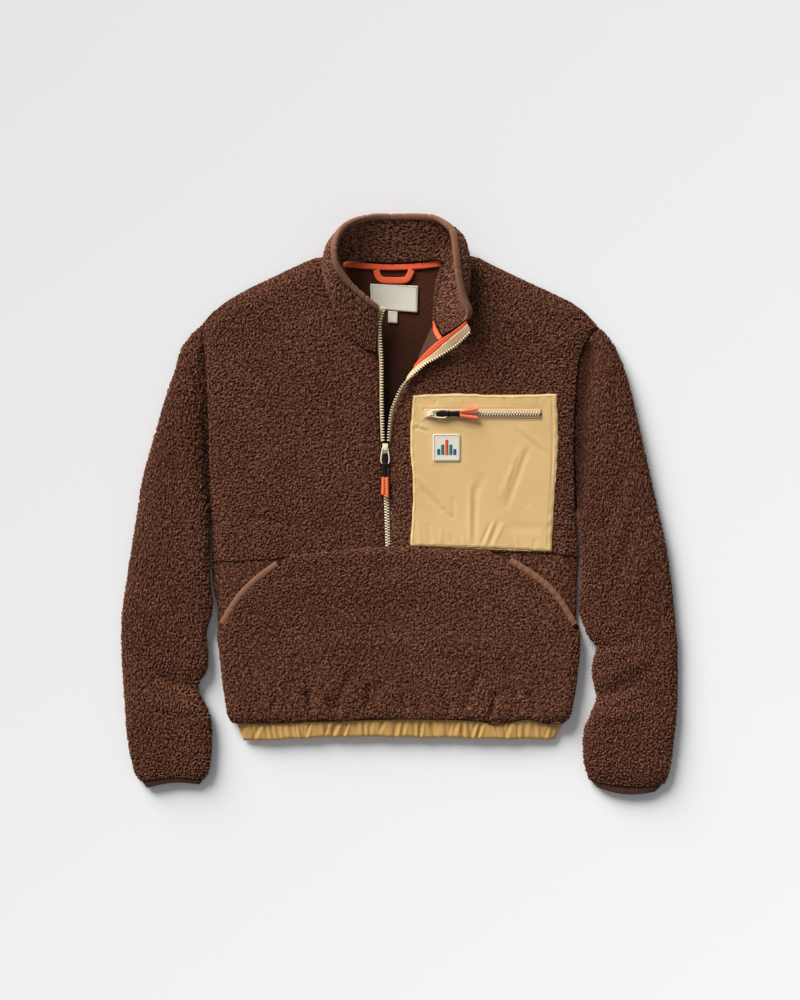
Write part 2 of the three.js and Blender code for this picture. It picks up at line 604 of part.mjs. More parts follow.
// Gathered nylon band: rings round the body at four heights, its ruffles deepest at the sherpa seam
function buildHem() {
  const bottomLine = sampled(BOTTOM, 60)
  const bodyEdge = x => {
    const i = Math.max(1, bottomLine.findIndex(p => p[0] > x))
    const [a, b] = [bottomLine[i - 1], bottomLine[i]]
    return mix(a[1], b[1], (x - a[0]) / (b[0] - a[0]))
  }
  const wave = k => HEM.gather * ((k % 2 ? 1 : -1) * (0.55 + 0.3 * Math.sin(k * 1.7)) - 0.3 * Math.cos(k * 0.9))
  const ring = (share, inward, low, high, gathered) => Array.from({ length: HEM.columns }, (_, k) => {
    const turn = 2 * Math.PI * (k + 0.5) / HEM.columns
    const [c, s] = [Math.cos(turn), Math.sin(turn)]
    const spread = Math.acos(Math.max(-1, Math.min(1, c))) / Math.PI
    const x = mix(HEM.halfWidth - inward, -HEM.halfWidth + inward, spread)
    const top = bodyEdge(Math.max(-224, Math.min(224, x))) - SEAM_GAP
    const y = mix(top, HEM.bottom + 1.2 * Math.sin(x / 31), share)
    const round = Math.min(1, Math.abs(s) ** 0.3 * 1.1) * Math.sign(s)
    const ruffle = gathered * (s > 0.1 ? wave(k) : 0)
    return [x, y, (low + high) / 2 + round * (high - low) / 2 + ruffle]
  })
  const rows = [[0, 0.2], [0.3, 1], [0.62, 0.8], [1, 0.5]]
  const low = (HEM.height - HEM.slit) / 2
  const outside = rows.map(([share, gathered]) => ring(share, 0, 0, HEM.height, gathered))
  const inside = rows.map(([share, gathered]) => ring(share, 3, low, low + HEM.slit, gathered * 0.4))
  const turnOver = rings => rings[0].map((_, k) => rings.map(r => r[k]))
  return wall('hem_band', 'nylon', turnOver(outside), turnOver(inside), true)
}

// Middle surface of the collar: u runs along it, v from the neck seam to the top edge
function collarSurface() {
  const seam = route(COLLAR.map(row => row.slice(0, 3)))
  const top = route(COLLAR.map(row => row.slice(3, 6)))
  const bulges = COLLAR.map(row => row[6])
  const point = (u, v) => {
    const a = seam.getPoint(u)
    const b = top.getPoint(u)
    const place = Math.min(u * (bulges.length - 1), bulges.length - 1.001)
    const bulge = mix(bulges[Math.floor(place)], bulges[Math.floor(place) + 1], place % 1)
    const away = new THREE.Vector3(a.x - COLLAR_CENTRE[0], a.y - COLLAR_CENTRE[1], 0).normalize()
    return a.lerp(b, v).addScaledVector(away, 4 * v * (1 - v) * bulge)
  }
  const step = 1e-3
  const normal = (u, v) => {
    const alongU = point(Math.min(1, u + step), v).sub(point(Math.max(0, u - step), v))
    const alongV = point(u, Math.min(1, v + step)).sub(point(u, Math.max(0, v - step)))
    return alongU.cross(alongV).normalize()
  }
  return { point, normal }
}

function buildCollar() {
  const { point, normal } = collarSurface()
  const us = steps(51)
  const rimShare = 0.88
  const vs = [0, 0.2, 0.42, 0.64, rimShare]
  const offset = (u, v, by) => point(u, v).addScaledVector(normal(u, v), by).toArray()
  const side = by => us.map(u => vs.map(v => offset(u, v, by)))
  const collar = wall('collar', 'pile', side(-COLLAR_WALL / 2), side(COLLAR_WALL / 2))
  const half = COLLAR_BINDING.thickness / 2
  const { start, depth, shoulder } = COLLAR_BINDING
  const section = [
    [start, -half], [shoulder, -half], [depth, -half / 2], [depth, half / 2], [shoulder, half], [start, half],
  ]
  const rings = us.map(u => {
    const rim = point(u, rimShare)
    const across = normal(u, rimShare)
    const upwards = point(u, rimShare + 0.01).sub(rim)
    upwards.addScaledVector(across, -upwards.dot(across)).normalize()
    return section.map(([up, out]) => rim.clone().addScaledVector(upwards, up).addScaledVector(across, out).toArray())
  })
  return [collar, bar('collar_binding', 'binding', rings)]
}

// A strip between the two lines of a table, raised over the surface that they span
function edgeStrip(name, finish, rows, [from, to], [low, high]) {
  const teeth = route(rows.map(row => row.slice(0, 3)))
  const folds = route(rows.map(row => row.slice(3, 6)))
  let before = new THREE.Vector3(0, 0, 1)
  const line = steps((rows.length - 1) * STEPS_PER_STATION).map(t => {
    const tooth = teeth.getPoint(t)
    const inward = folds.getPoint(t).sub(tooth)
    const reach = inward.length()
    inward.normalize()
    const up = inward.clone().cross(teeth.getTangent(t)).normalize()
    if (up.dot(before) < 0) up.negate()
    before = up
    const at = (across, raise) => tooth.clone().addScaledVector(inward, across).addScaledVector(up, raise).toArray()
    const end = Math.min(to, reach)
    const places = [from, mix(from, end, 0.5), end]
    return { over: places.map(w => at(w, high)), beneath: places.map(w => at(w, low)) }
  })
  return wall(name, finish, line.map(s => s.over), line.map(s => s.beneath))
}

function buildFrontZip() {
  const half = CLOSED_ZIP.width / 2
  const [topX, topY] = CLOSED_ZIP.top
  const [lowX, lowY] = CLOSED_ZIP.bottom
  const closed = [[lowX - half, lowY], [lowX + half, lowY], [topX + half, topY], [topX - half, topY]]
  return [
    edgeStrip('front_edge_left', 'binding', EDGE_FACING, [0, Infinity], TURNED_EDGE),
    edgeStrip('zip_tape_left', 'tape', OPEN_EDGE_LEFT, [0, Infinity], MIDDLED),
    edgeStrip('zip_edge_binding_left', 'coral', EDGE_CORAL, [CORAL_GAP, Infinity], MIDDLED),
    edgeStrip('zip_tape_right', 'tape', OPEN_EDGE_RIGHT, [0, ZIP_TAPE_WIDTH], ON_EDGE),
    plate('zip_tape_closed', 'tape', closed, CLOSED_ZIP.z, 2),
  ]
}

// A closed mesh as a solid, and a solid as a mesh's geometry
function toSolid(geometry) {
  const bare = geometry.clone()
  bare.deleteAttribute('normal')
  bare.deleteAttribute('uv')
  const merged = BufferGeometryUtils.mergeVertices(bare, 1e-4)
  return new wasm.Manifold(new wasm.Mesh({
    numProp: 3,
    vertProperties: new Float32Array(merged.attributes.position.array),
    triVerts: new Uint32Array(merged.index.array),
  }))
}

function toGeometry(solid) {
  const mesh = solid.getMesh()
  const geometry = new THREE.BufferGeometry()
  geometry.setAttribute('position', new THREE.BufferAttribute(mesh.vertProperties, 3))
  geometry.setIndex(new THREE.BufferAttribute(mesh.triVerts, 1))
  return geometry
}

const block = (x, y, z, cx, cy, cz) => new THREE.BoxGeometry(x, y, z).translate(cx, cy, cz)

// A slider whose pull points along +X before it is turned; its bridge spans the pull's bar
function buildSlider(name, place) {
  const { length, width, plate: base, post, opening, top, arch } = SLIDER
  const capHeight = top - base - opening
  const body = toSolid(block(length, width, base, 0, 0, base / 2))
  const reach = opening / 2 + post / 2
  const parts = [
    block(post, arch, opening + 0.2, -reach, 0, base + opening / 2),
    block(post, arch, opening + 0.2, reach, 0, base + opening / 2),
    block(opening + 2 * post, arch, capHeight, 0, 0, base + opening + capHeight / 2),
  ]
  const whole = parts.reduce((solid, part) => solid.add(toSolid(part)), body)
  const geometry = toGeometry(whole)
  geometry.rotateZ(place.turn)
  geometry.translate(place.x, place.y, place.base)
  return named(name, 'metal', geometry)
}

// A pull on its slider: wire bail, moulded grip and two cord ends, along +X before it is turned
function buildPull(prefix, place) {
  const sides = 8
  const { length, halfWidth, wire } = BAIL
  const bow = 2.2
  const outline = [
    [0, -halfWidth + 1.8], [0, halfWidth - 1.8], [1.5, halfWidth - 0.4], [length * 0.55, halfWidth + 0.5],
    [length - bow, halfWidth], [length, halfWidth - 2.6], [length, -halfWidth + 2.6],
    [length - bow, -halfWidth], [length * 0.55, -halfWidth - 0.5], [1.5, -halfWidth + 0.4],
  ]
  const loop = new THREE.CatmullRomCurve3(outline.map(([x, y]) => new THREE.Vector3(x, y, 0)), true,
    'catmullrom', 0.3)
  const rings = Array.from({ length: BAIL.stations }, (_, i) => {
    const at = loop.getPoint(i / BAIL.stations)
    const way = loop.getTangent(i / BAIL.stations)
    return Array.from({ length: 6 }, (_, k) => {
      const turn = 2 * Math.PI * k / 6
      const across = wire * Math.cos(turn)
      return [at.x - way.y * across, at.y + way.x * across, wire * Math.sin(turn)]
    })
  })
  const bail = bar(`${prefix}_bail`, 'metal', rings, true)

  const gripStart = length + wire + 0.3
  const gripRing = (x, scale) => Array.from({ length: sides }, (_, k) => {
    const turn = 2 * Math.PI * (k + 0.5) / sides
    return [x, GRIP.halfWidth * scale * Math.cos(turn), GRIP.halfHeight * scale * Math.sin(turn)]
  })
  const gripEnd = gripStart + GRIP.length
  const grip = bar(`${prefix}_grip`, 'cord', [
    gripRing(gripStart, 0.7), gripRing(gripStart + 1.5, 1), gripRing(gripStart + GRIP.length / 2, 0.86),
    gripRing(gripEnd - 1.5, 1), gripRing(gripEnd, 0.85),
  ])

  const end = (label, side, long) => {
    const start = gripEnd + 0.3
    const gap = CORD_END.radius + 0.2
    const splay = CORD_END.splay[prefix]
    const ring = (share, scale) => Array.from({ length: sides }, (_, k) => {
      const turn = 2 * Math.PI * (k + 0.5) / sides
      const y = side * (gap + splay * share) + CORD_END.radius * scale * Math.cos(turn)
      return [start + long * share, y, CORD_END.radius * scale * Math.sin(turn)]
    })
    return bar(`${prefix}_end_${label}`, 'coral',
      [ring(0, 0.9), ring(0.5, 0.9), ring(0.92, 1), ring(1, 0.6)])
  }
  const pull = new THREE.Group()
  const [short, long] = CORD_END.lengths
  pull.add(bail, grip, end('a', -1, short), end('b', 1, prefix === 'front_pull' ? long : short))
  pull.position.set(place.x, place.y, place.base + SLIDER.bar)
  pull.rotation.z = place.turn
  return pull
}

function buildChest() {
  const { bottom, top, right, left } = CHEST_POCKET
  const patch = coons(bottom, top, right, left)
  const base = FRONT_TOP + SEAM_GAP
  const surface = (x, y) => {
    const onTape = x > POCKET_ZIP.from[0] - 14 && y > BADGE.centre[1] - BADGE.size / 2 - 6
      && (y > POCKET_ZIP.from[1] - 10 || x < BADGE.centre[0] + BADGE.size)
    return base + NYLON_WALL + (onTape ? 0 : Math.max(-0.5, relief(NYLON_FOLDS, x, y)))
  }
  const [x0, y0] = POCKET_ZIP.from
  const [x1, y1] = POCKET_ZIP.to
  const half = BADGE.size / 2
  const [cx, cy] = BADGE.centre
  const badge = []
  for (const [sx, sy, start] of [[1, 1, 0], [-1, 1, 1], [-1, -1, 2], [1, -1, 3]]) {
    for (let k = 0; k <= 3; k++) {
      const turn = (start + k / 3) * Math.PI / 2
      const inner = half - BADGE.corner
      badge.push([cx + sx * inner + BADGE.corner * Math.cos(turn), cy + sy * inner + BADGE.corner * Math.sin(turn)])
    }
  }
  const onPocket = base + NYLON_WALL + 0.3
  return [
    panel('chest_pocket', 'nylon', patch, steps(14), steps(15), surface, () => base),
    plate('chest_pocket_zip_tape', 'tape', [[x0, y0], [x1, y0], [x1, y1], [x0, y1]], onPocket, TAPE_WALL),
    plate('badge', 'label', badge, onPocket, BADGE.thickness),
  ]
}

// A flat ribbon of a given width along a route, on a base height
function ribbon(name, finish, rows, width, base, thickness, count) {
  const line = route(rows)
  const sides = steps(count).map(t => {
    const at = line.getPointAt(t)
    const way = line.getTangentAt(t)
    const flat = Math.hypot(way.x, way.y)
    const edge = (d, z) => [at.x - way.y / flat * d, at.y + way.x / flat * d, at.z + z]
    return {
      over: [edge(-width / 2, base + thickness), edge(width / 2, base + thickness)],
      beneath: [edge(-width / 2, base), edge(width / 2, base)],
    }
  })
  return wall(name, finish, sides.map(s => s.over), sides.map(s => s.beneath))
}

function buildNeckPieces() {
  const onBack = BACK_TOP + 0.3
  return [
    ribbon('neck_tape_back', 'coral', NECK_TAPE.route, NECK_TAPE.width, onBack, 1.4, 12),
    ribbon('neck_tape_left', 'coral', NECK_TAPE_LEFT.route, NECK_TAPE_LEFT.width, 0, 1.4, 6),
    plate('hanger_loop', 'coral', HANGER_LOOP, onBack + 1.3, 1.2),
    plate('neck_label', 'label', NECK_LABEL, onBack, 1.0),
    plate('size_tab', 'label', SIZE_TAB, onBack, 0.8),
  ]
}

const garment = new THREE.Group()
garment.add(
  buildBack(), ...buildFronts(), ...buildLowerFront(), ...buildSleeves(), buildHem(), ...buildCollar(),
  ...buildFrontZip(), ...buildChest(), ...buildNeckPieces(),
  buildSlider('front_zip_slider', FRONT_SLIDER), buildSlider('chest_pocket_slider', POCKET_SLIDER),
  buildPull('front_pull', FRONT_SLIDER), buildPull('pocket_pull', POCKET_SLIDER),
)

// The origin is the middle of the garment's footprint, on the surface that it rests on
garment.updateMatrixWorld(true)
const extent = new THREE.Box3().setFromObject(garment, true)
const middle = extent.getCenter(new THREE.Vector3())
garment.position.set(-middle.x, -middle.y, 0)

export default garment
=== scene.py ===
# %% [markdown]
# # A sherpa fleece pullover, laid out flat
#
# The CAD model gives the cut pieces at their real size. This lesson dresses them: curly pile with
# dark gaps, crinkled nylon, gathered hem, zips with real teeth, and sewn labels. Every surface is a
# small formula over a grid, worked out with numpy as whole arrays.
#
# The tables are in millimetres, in the CAD model's layout, and are moved to its origin when a mesh
# is made. +X is the wearer's left, +Y points to the collar, +Z is up off the floor.

import math

import bpy
import numpy as np
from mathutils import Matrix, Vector


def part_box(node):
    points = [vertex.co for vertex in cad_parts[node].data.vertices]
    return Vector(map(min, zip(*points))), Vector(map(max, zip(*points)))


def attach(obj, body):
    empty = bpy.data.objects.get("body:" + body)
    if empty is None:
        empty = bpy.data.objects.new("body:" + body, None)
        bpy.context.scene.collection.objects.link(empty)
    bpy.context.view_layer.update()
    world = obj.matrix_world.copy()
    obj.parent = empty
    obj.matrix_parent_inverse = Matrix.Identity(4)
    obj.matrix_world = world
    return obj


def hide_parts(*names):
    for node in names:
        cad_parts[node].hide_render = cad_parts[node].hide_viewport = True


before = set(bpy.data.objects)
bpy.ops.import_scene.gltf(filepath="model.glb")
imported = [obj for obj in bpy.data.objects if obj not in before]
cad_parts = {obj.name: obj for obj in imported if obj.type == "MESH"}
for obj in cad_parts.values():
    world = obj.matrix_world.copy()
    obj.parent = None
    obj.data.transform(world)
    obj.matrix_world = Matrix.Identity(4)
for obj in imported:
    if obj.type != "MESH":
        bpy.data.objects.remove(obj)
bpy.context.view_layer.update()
MM = 0.001
SEED = 20

# %% [markdown]
# ## Camera, floor and light
#
# The photo looks straight down on the garment. A frame of 1.4 m is as high as the picture, and a
# camera 3 m up keeps the perspective weak. One broad low lamp at the upper left makes the tufts
# stand out and gives the soft shadow at the lower right, and a pale sky fills the rest.

# %% Camera, floor and light
PICTURE_HEIGHT = 1.4
CAMERA_HEIGHT = 3.0
SENSOR = 36.0
AIM = (0.0007, 0.0047)

camera_data = bpy.data.cameras.new("camera")
camera_data.sensor_width = SENSOR
camera_data.lens = SENSOR * CAMERA_HEIGHT / PICTURE_HEIGHT
camera = bpy.data.objects.new("camera", camera_data)
camera.location = (AIM[0], AIM[1], CAMERA_HEIGHT)
bpy.context.collection.objects.link(camera)
bpy.context.scene.camera = camera


def soft_sun(name, bearing, height, spread, strength, colour):
    """A far lamp: its bearing turns from +X towards +Y, and its height is above the floor."""
    data = bpy.data.lights.new(name, "SUN")
    data.energy = strength
    data.angle = math.radians(spread)
    data.color = colour
    lamp = bpy.data.objects.new(name, data)
    turn, lift = math.radians(bearing), math.radians(height)
    way = Vector((math.cos(turn) * math.cos(lift), math.sin(turn) * math.cos(lift), math.sin(lift)))
    lamp.rotation_euler = (-way).to_track_quat("-Z", "Y").to_euler()
    bpy.context.collection.objects.link(lamp)


soft_sun("window", bearing=124, height=24, spread=36, strength=5.5, colour=(1.0, 0.99, 0.975))

world = bpy.data.worlds.new("sky")
world.use_nodes = True
world.node_tree.nodes["Background"].inputs["Color"].default_value = (0.95, 0.97, 1.0, 1)
world.node_tree.nodes["Background"].inputs["Strength"].default_value = 0.28
bpy.context.scene.world = world
bpy.context.scene.view_settings.view_transform = "Standard"
print("lens", round(camera_data.lens, 2), "mm")

# %% [markdown]
# ## Shader maths as plain expressions
#
# A material is a network of nodes. One class here wraps a socket, so that `a * b` or `a + 0.2`
# adds the Math nodes by itself, and one method of the finish class adds any other node.

# %% Sockets and finishes
class Flow:
    """A number that varies over a surface: arithmetic on it adds Math nodes."""

    def __init__(self, finish, socket):
        self.finish = finish
        self.socket = socket

    def maths(self, operation, other):
        return self.finish.node("ShaderNodeMath", {"operation": operation}, {0: self, 1: other})

    def __add__(self, other):
        return self.maths("ADD", other)

    def __sub__(self, other):
        return self.maths("SUBTRACT", other)

    def __mul__(self, other):
        return self.maths("MULTIPLY", other)


def linear(red, green, blue):
    """An sRGB colour given as 0 to 255, as the linear colour that a socket holds."""
    def one(value):
        value = value / 255
        return value / 12.92 if value <= 0.04045 else ((value + 0.055) / 1.055) ** 2.4
    return (one(red), one(green), one(blue), 1.0)


class Finish:
    """A material: its principled shader, and one method that adds any node."""

    def __init__(self, name, **uniform):
        self.material = bpy.data.materials.new(name)
        self.material.use_nodes = True
        self.tree = self.material.node_tree
        self.shader = self.tree.nodes["Principled BSDF"]
        for socket, value in uniform.items():
            self.shader.inputs[socket.replace("_", " ")].default_value = value

    def node(self, kind, settings=None, inputs=None, output=0):
        made = self.tree.nodes.new(kind)
        for key, value in (settings or {}).items():
            if key == "stops":
                ramp = made.color_ramp.elements
                while len(ramp) < len(value):
                    ramp.new(0.5)
                for element, (place, colour) in zip(ramp, value):
                    element.position = place
                    element.color = colour
            else:
                setattr(made, key, value)
        for key, value in (inputs or {}).items():
            if isinstance(value, Flow):
                self.tree.links.new(value.socket, made.inputs[key])
            else:
                made.inputs[key].default_value = value
        return Flow(self, made.outputs[output])

    def feed(self, socket, flow):
        self.tree.links.new(flow.socket, self.shader.inputs[socket])

    def place(self):
        return self.node("ShaderNodeTexCoord", output="Object")

    def part(self, axis):
        """One coordinate of the place: "X", "Y" or "Z"."""
        return self.node("ShaderNodeSeparateXYZ", {}, {0: self.place()}, axis)

    def remap(self, value, low, high, **settings):
        """A value from low to high as a share from 0 to 1."""
        return self.node("ShaderNodeMapRange", settings, {
            "Value": value, "From Min": low, "From Max": high,
        })

    def noise(self, scale, detail=3.0, roughness=0.55, vector=None):
        return self.node("ShaderNodeTexNoise", {}, {
            "Vector": vector or self.place(), "Scale": scale, "Detail": detail, "Roughness": roughness,
        }, "Fac")

    def blend(self, factor, first, second):
        return self.node("ShaderNodeMix", {"data_type": "RGBA"}, {0: factor, 6: first, 7: second}, 2)

    def ramp(self, factor, stops):
        return self.node("ShaderNodeValToRGB", {"stops": stops}, {"Fac": factor})

    def bump(self, height, strength, distance):
        self.feed("Normal", self.node("ShaderNodeBump", {}, {
            "Height": height, "Strength": strength, "Distance": distance,
        }))


# %% [markdown]
# ## The floor
#
# A plain pale sheet of card, a little rough, so that only the soft shadow shows on it. Its colour is
# painted paler towards the lower right: painted light, falling off across the card.

# %% Floor
card = Finish("pale_card", Roughness=0.9)
CARD_DARK, CARD_LIGHT = linear(231, 231, 232), linear(249, 249, 249)
# Painted light: the card's colour runs paler towards the lower right
light_falloff_sweep = card.remap(card.part("X") * 0.8 - card.part("Y"), -1.1, 1.1)
card.feed("Base Color", card.blend(light_falloff_sweep + card.noise(3.0) * 0.04, CARD_DARK, CARD_LIGHT))

FLOOR_HALF = 30.0
floor_mesh = bpy.data.meshes.new("floor")
floor_mesh.from_pydata(
    [(-FLOOR_HALF, -FLOOR_HALF, 0), (FLOOR_HALF, -FLOOR_HALF, 0), (FLOOR_HALF, FLOOR_HALF, 0),
     (-FLOOR_HALF, FLOOR_HALF, 0)], [], [(0, 1, 2, 3)])
floor_mesh.materials.append(card.material)
floor = bpy.data.objects.new("floor", floor_mesh)
bpy.context.collection.objects.link(floor)

# %% [markdown]
# ## Materials
#
# The pile is the main finish. Each tuft of yarn catches the light on top and is dark in the gap
# below it, so the mesh carries an attribute, `pile`, that says how high a point stands in its tuft,
# and the colour runs from gap to top along it: painted shade in the gaps and a painted highlight on
# the tops. Finer curls are bump, and their gaps are painted darker as well.

# %% Pile finish
# The gap tone is painted shade and the top tone a painted highlight of each tuft
PILE_GAP_SHADE = linear(40, 17, 10)
PILE_BODY = linear(93, 53, 37)
PILE_TOP_HIGHLIGHT = linear(168, 118, 92)
INSIDE_DARK, INSIDE_LIGHT = linear(16, 7, 4), linear(76, 40, 24)

pile = Finish("sherpa_pile", Roughness=0.92, Sheen_Weight=0.08, Sheen_Roughness=0.5,
              Specular_IOR_Level=0.15)
pile.shader.inputs["Sheen Tint"].default_value = linear(190, 150, 125)
tuft = pile.node("ShaderNodeAttribute", {"attribute_name": "pile"}, {}, "Fac")
nap = pile.node("ShaderNodeAttribute", {"attribute_name": "nap"}, {}, "Fac")
curls = pile.node("ShaderNodeTexVoronoi", {"feature": "F1"}, {
    "Vector": pile.node("ShaderNodeMix", {"data_type": "VECTOR"}, {
        0: 0.003, 4: pile.place(), 5: pile.node("ShaderNodeTexNoise", {}, {"Scale": 260.0}, "Color"),
    }, 1), "Scale": 400.0,
}, "Distance")
fine = pile.noise(1500.0, 2.0)
# Painted shade and highlight: tuft height and the fine curls set the colour from dark gaps to lit tops
shade = tuft * 0.66 + fine * 0.2 + pile.noise(9.0, 2.0) * 0.14 - curls * 0.62 + 0.24
fur = pile.ramp(shade, [(0.0, PILE_GAP_SHADE), (0.4, PILE_BODY), (0.9, PILE_TOP_HIGHLIGHT)])

# %% [markdown]
# The smooth inside of the back is painted darker towards the foot of the open zip: painted shade,
# where the two edges almost close over it and little light comes in.

# %% The smooth inside
# Painted shade: the knit's colour darkens towards the foot of the open zip
depth = pile.remap(pile.part("Y") + pile.noise(40.0, 2.0) * 0.02, 0.10, 0.33,
                   interpolation_type="SMOOTHSTEP")
knit = pile.blend(depth * 0.9 + pile.noise(900.0, 1.0) * 0.1, INSIDE_DARK, INSIDE_LIGHT)
pile.feed("Base Color", pile.blend(nap, knit, fur))
pile.bump(tuft * 0.5 + fine * 0.4 - curls * 1.1, 0.7, 0.0012)

# %% [markdown]
# The other cloths: smooth brown stretch binding, golden nylon with a fine weave and a soft sheen,
# coral and beige woven tapes, and ivory labels. The weave is two sets of fine waves crossed.

# %% Woven finishes
# At a scale of 1 the wave texture turns by so many radians in each metre
WAVE_TURNS = 20


def weave(finish, pitch):
    """Two crossed sets of sine waves: the threads of a plain weave, one pitch (in mm) apart."""
    scale = 2 * math.pi / (pitch * MM) / WAVE_TURNS
    across, along_y = (finish.node("ShaderNodeTexWave", {"bands_direction": axis}, {
        "Vector": finish.place(), "Scale": scale}, "Fac") for axis in "XY")
    return across.maths("MAXIMUM", along_y)


def cloth(name, dark, light, roughness, pitch, sheen=0.1, bump=0.25, specular=0.3):
    """A woven cloth: its colour drifts softly between two tones, its threads are bump."""
    finish = Finish(name, Roughness=roughness, Sheen_Weight=sheen, Specular_IOR_Level=specular)
    threads = weave(finish, pitch)
    drift = finish.noise(14.0, 3.0) * 0.55 + finish.noise(700.0, 1.0) * 0.25 + threads * 0.2
    finish.feed("Base Color", finish.blend(drift, dark, light))
    finish.bump(threads * 0.6 + finish.noise(420.0, 2.0) * 0.4, bump, 0.0003)
    return finish


binding = cloth("stretch_binding", linear(104, 66, 46), linear(138, 94, 68), 0.8, 0.9, bump=0.3)
# A darker copy of the stretch binding for the cuffs and the turned edge: painted shade
binding_painted_shade = cloth("binding_painted_shade", linear(60, 33, 22), linear(86, 51, 35), 0.8, 0.9, sheen=0.05,
                       bump=0.3)
nylon = cloth("golden_nylon", linear(206, 167, 108), linear(232, 197, 138), 0.6, 0.55, bump=0.1,
              specular=0.25)
# A darker, more saturated copy of the golden nylon for the gathered hem band: painted shade
hem_gold_painted_shade = cloth("hem_nylon", linear(176, 133, 70), linear(212, 168, 99), 0.56, 0.55, bump=0.1)
coral = cloth("coral_tape", linear(236, 84, 42), linear(252, 110, 64), 0.72, 0.8)
beige = cloth("zip_tape", linear(198, 160, 118), linear(222, 188, 146), 0.8, 0.8)
# A darker copy of the beige zip tape: painted shade, on the closed zip and under the pocket zip's teeth
tape_painted_shade = cloth("tape_painted_shade", linear(112, 82, 56), linear(140, 106, 76), 0.8, 0.8)
ivory = cloth("woven_label", linear(214, 207, 188), linear(232, 228, 212), 0.85, 0.5)
brown_thread = cloth("brown_thread", linear(58, 35, 26), linear(86, 54, 41), 0.8, 0.4)
gold_thread = cloth("gold_thread", linear(170, 132, 78), linear(200, 160, 104), 0.7, 0.4)
teal = cloth("teal_thread", linear(40, 120, 112), linear(66, 146, 136), 0.7, 0.5)
blue = cloth("blue_thread", linear(48, 88, 132), linear(74, 114, 156), 0.7, 0.5)

# %% [markdown]
# Hard trim: pale gold plating on the sliders and bails, moulded black grips and coral ends, and
# cream plastic teeth.

# %% Hard finishes
def hard(name, dark, light, roughness, metallic=0.0):
    """A moulded or plated finish: a slight drift of tone, and of gloss where fingers rub it."""
    finish = Finish(name, Metallic=metallic)
    wear = finish.noise(260.0, 3.0)
    finish.feed("Base Color", finish.blend(wear, dark, light))
    finish.feed("Roughness", wear * 0.18 + (roughness - 0.09))
    finish.bump(finish.noise(1900.0, 2.0), 0.12, 0.0001)
    return finish


gold = hard("pale_gold", linear(240, 220, 176), linear(255, 243, 212), 0.34, 0.15)
grip_black = hard("moulded_black", linear(9, 7, 6), linear(24, 19, 16), 0.66)
grip_black.shader.inputs["Specular IOR Level"].default_value = 0.15
coral_end = hard("moulded_coral", linear(243, 92, 50), linear(255, 126, 80), 0.42)
tooth_cream = hard("moulded_teeth", linear(222, 202, 160), linear(248, 234, 204), 0.38)
print(len(bpy.data.materials), "materials")

# %% [markdown]
# ## Curves and patches
#
# A table of a few rows is joined by a Catmull-Rom curve. Four such curves round a panel give a
# Coons patch, which is how a cut piece is turned into a grid.

# %% Curves
def mix(first, second, share):
    return first + (second - first) * share


def ease(low, high, x):
    """Smoothstep: with t the share of the way from low to high, 3t² - 2t³."""
    t = np.clip((x - low) / (high - low), 0, 1)
    return t * t * (3 - 2 * t)


def unit(vectors):
    """Vectors divided by their own lengths."""
    return vectors / np.linalg.norm(vectors, axis=-1, keepdims=True)


def left_of(way):
    """The level direction to the left of a way: (x, y) becomes (-y, x)."""
    return np.stack([-way[..., 1], way[..., 0]], -1)


def travelled(points):
    """Length covered at each point of a line: the summed chords."""
    return np.concatenate([[0], np.cumsum(np.linalg.norm(np.diff(points, axis=0), axis=1))])


def spline(rows, t):
    """Catmull-Rom: each span is a cubic whose end slopes are half the chord of its neighbours."""
    rows = np.asarray(rows, float)
    ends = np.vstack([2 * rows[0] - rows[1], rows, 2 * rows[-1] - rows[-2]])
    place = np.clip(np.asarray(t, float), 0, 1) * (len(rows) - 1)
    i = np.minimum(place.astype(int), len(rows) - 2)
    w = (place - i)[..., None]
    before, start, end, after = (ends[i + k] for k in range(4))
    leave, arrive = (end - before) / 2, (after - start) / 2
    cubic = 2 * (start - end) + leave + arrive
    square = 3 * (end - start) - 2 * leave - arrive
    return start + w * (leave + w * (square + w * cubic))


def along(rows, share, samples=240):
    """The same curve, asked by share of its length: the share is looked up in the summed chords."""
    t = np.linspace(0, 1, samples + 1)
    length = travelled(spline(rows, t))
    return spline(rows, np.interp(np.asarray(share) * length[-1], length, t))


def length_of(rows):
    return float(travelled(spline(rows, np.linspace(0, 1, 400)))[-1])


def heading(curve, rows, t, step=1e-3):
    """The unit way along a curve: its points a step ahead, minus those a step behind."""
    return unit(curve(rows, t + step) - curve(rows, t - step))


def coons(bottom, top, left, right, u, v):
    """Coons patch: the blend across plus the blend along, minus the blend of the four corners."""
    low, high = along(bottom, u)[:, None], along(top, u)[:, None]
    start, end = along(left, v)[None], along(right, v)[None]
    su, sv = u[:, None, None], v[None, :, None]
    corners = mix(mix(low[:1], low[-1:], su), mix(high[:1], high[-1:], su), sv)
    return mix(low, high, sv) + mix(start, end, su) - corners


def distance(lines, x, y):
    """Distance to the nearest of some lines: to the foot of the perpendicular on each segment."""
    nearest = np.full(np.shape(x), np.inf)
    for line in lines:
        for (ax, ay), (bx, by) in zip(line[:-1], line[1:]):
            dx, dy = bx - ax, by - ay
            t = np.clip(((x - ax) * dx + (y - ay) * dy) / (dx * dx + dy * dy), 0, 1)
            nearest = np.minimum(nearest, np.hypot(x - ax - t * dx, y - ay - t * dy))
    return nearest


def fall(gap, radius, depth):
    """Quarter-round edge: the drop is depth · (1 - √(1 - t²)), t being 1 at the edge."""
    t = np.clip(1 - gap / radius, 0, 1)
    return depth * (1 - np.sqrt(np.maximum(0, 1 - t * t)))


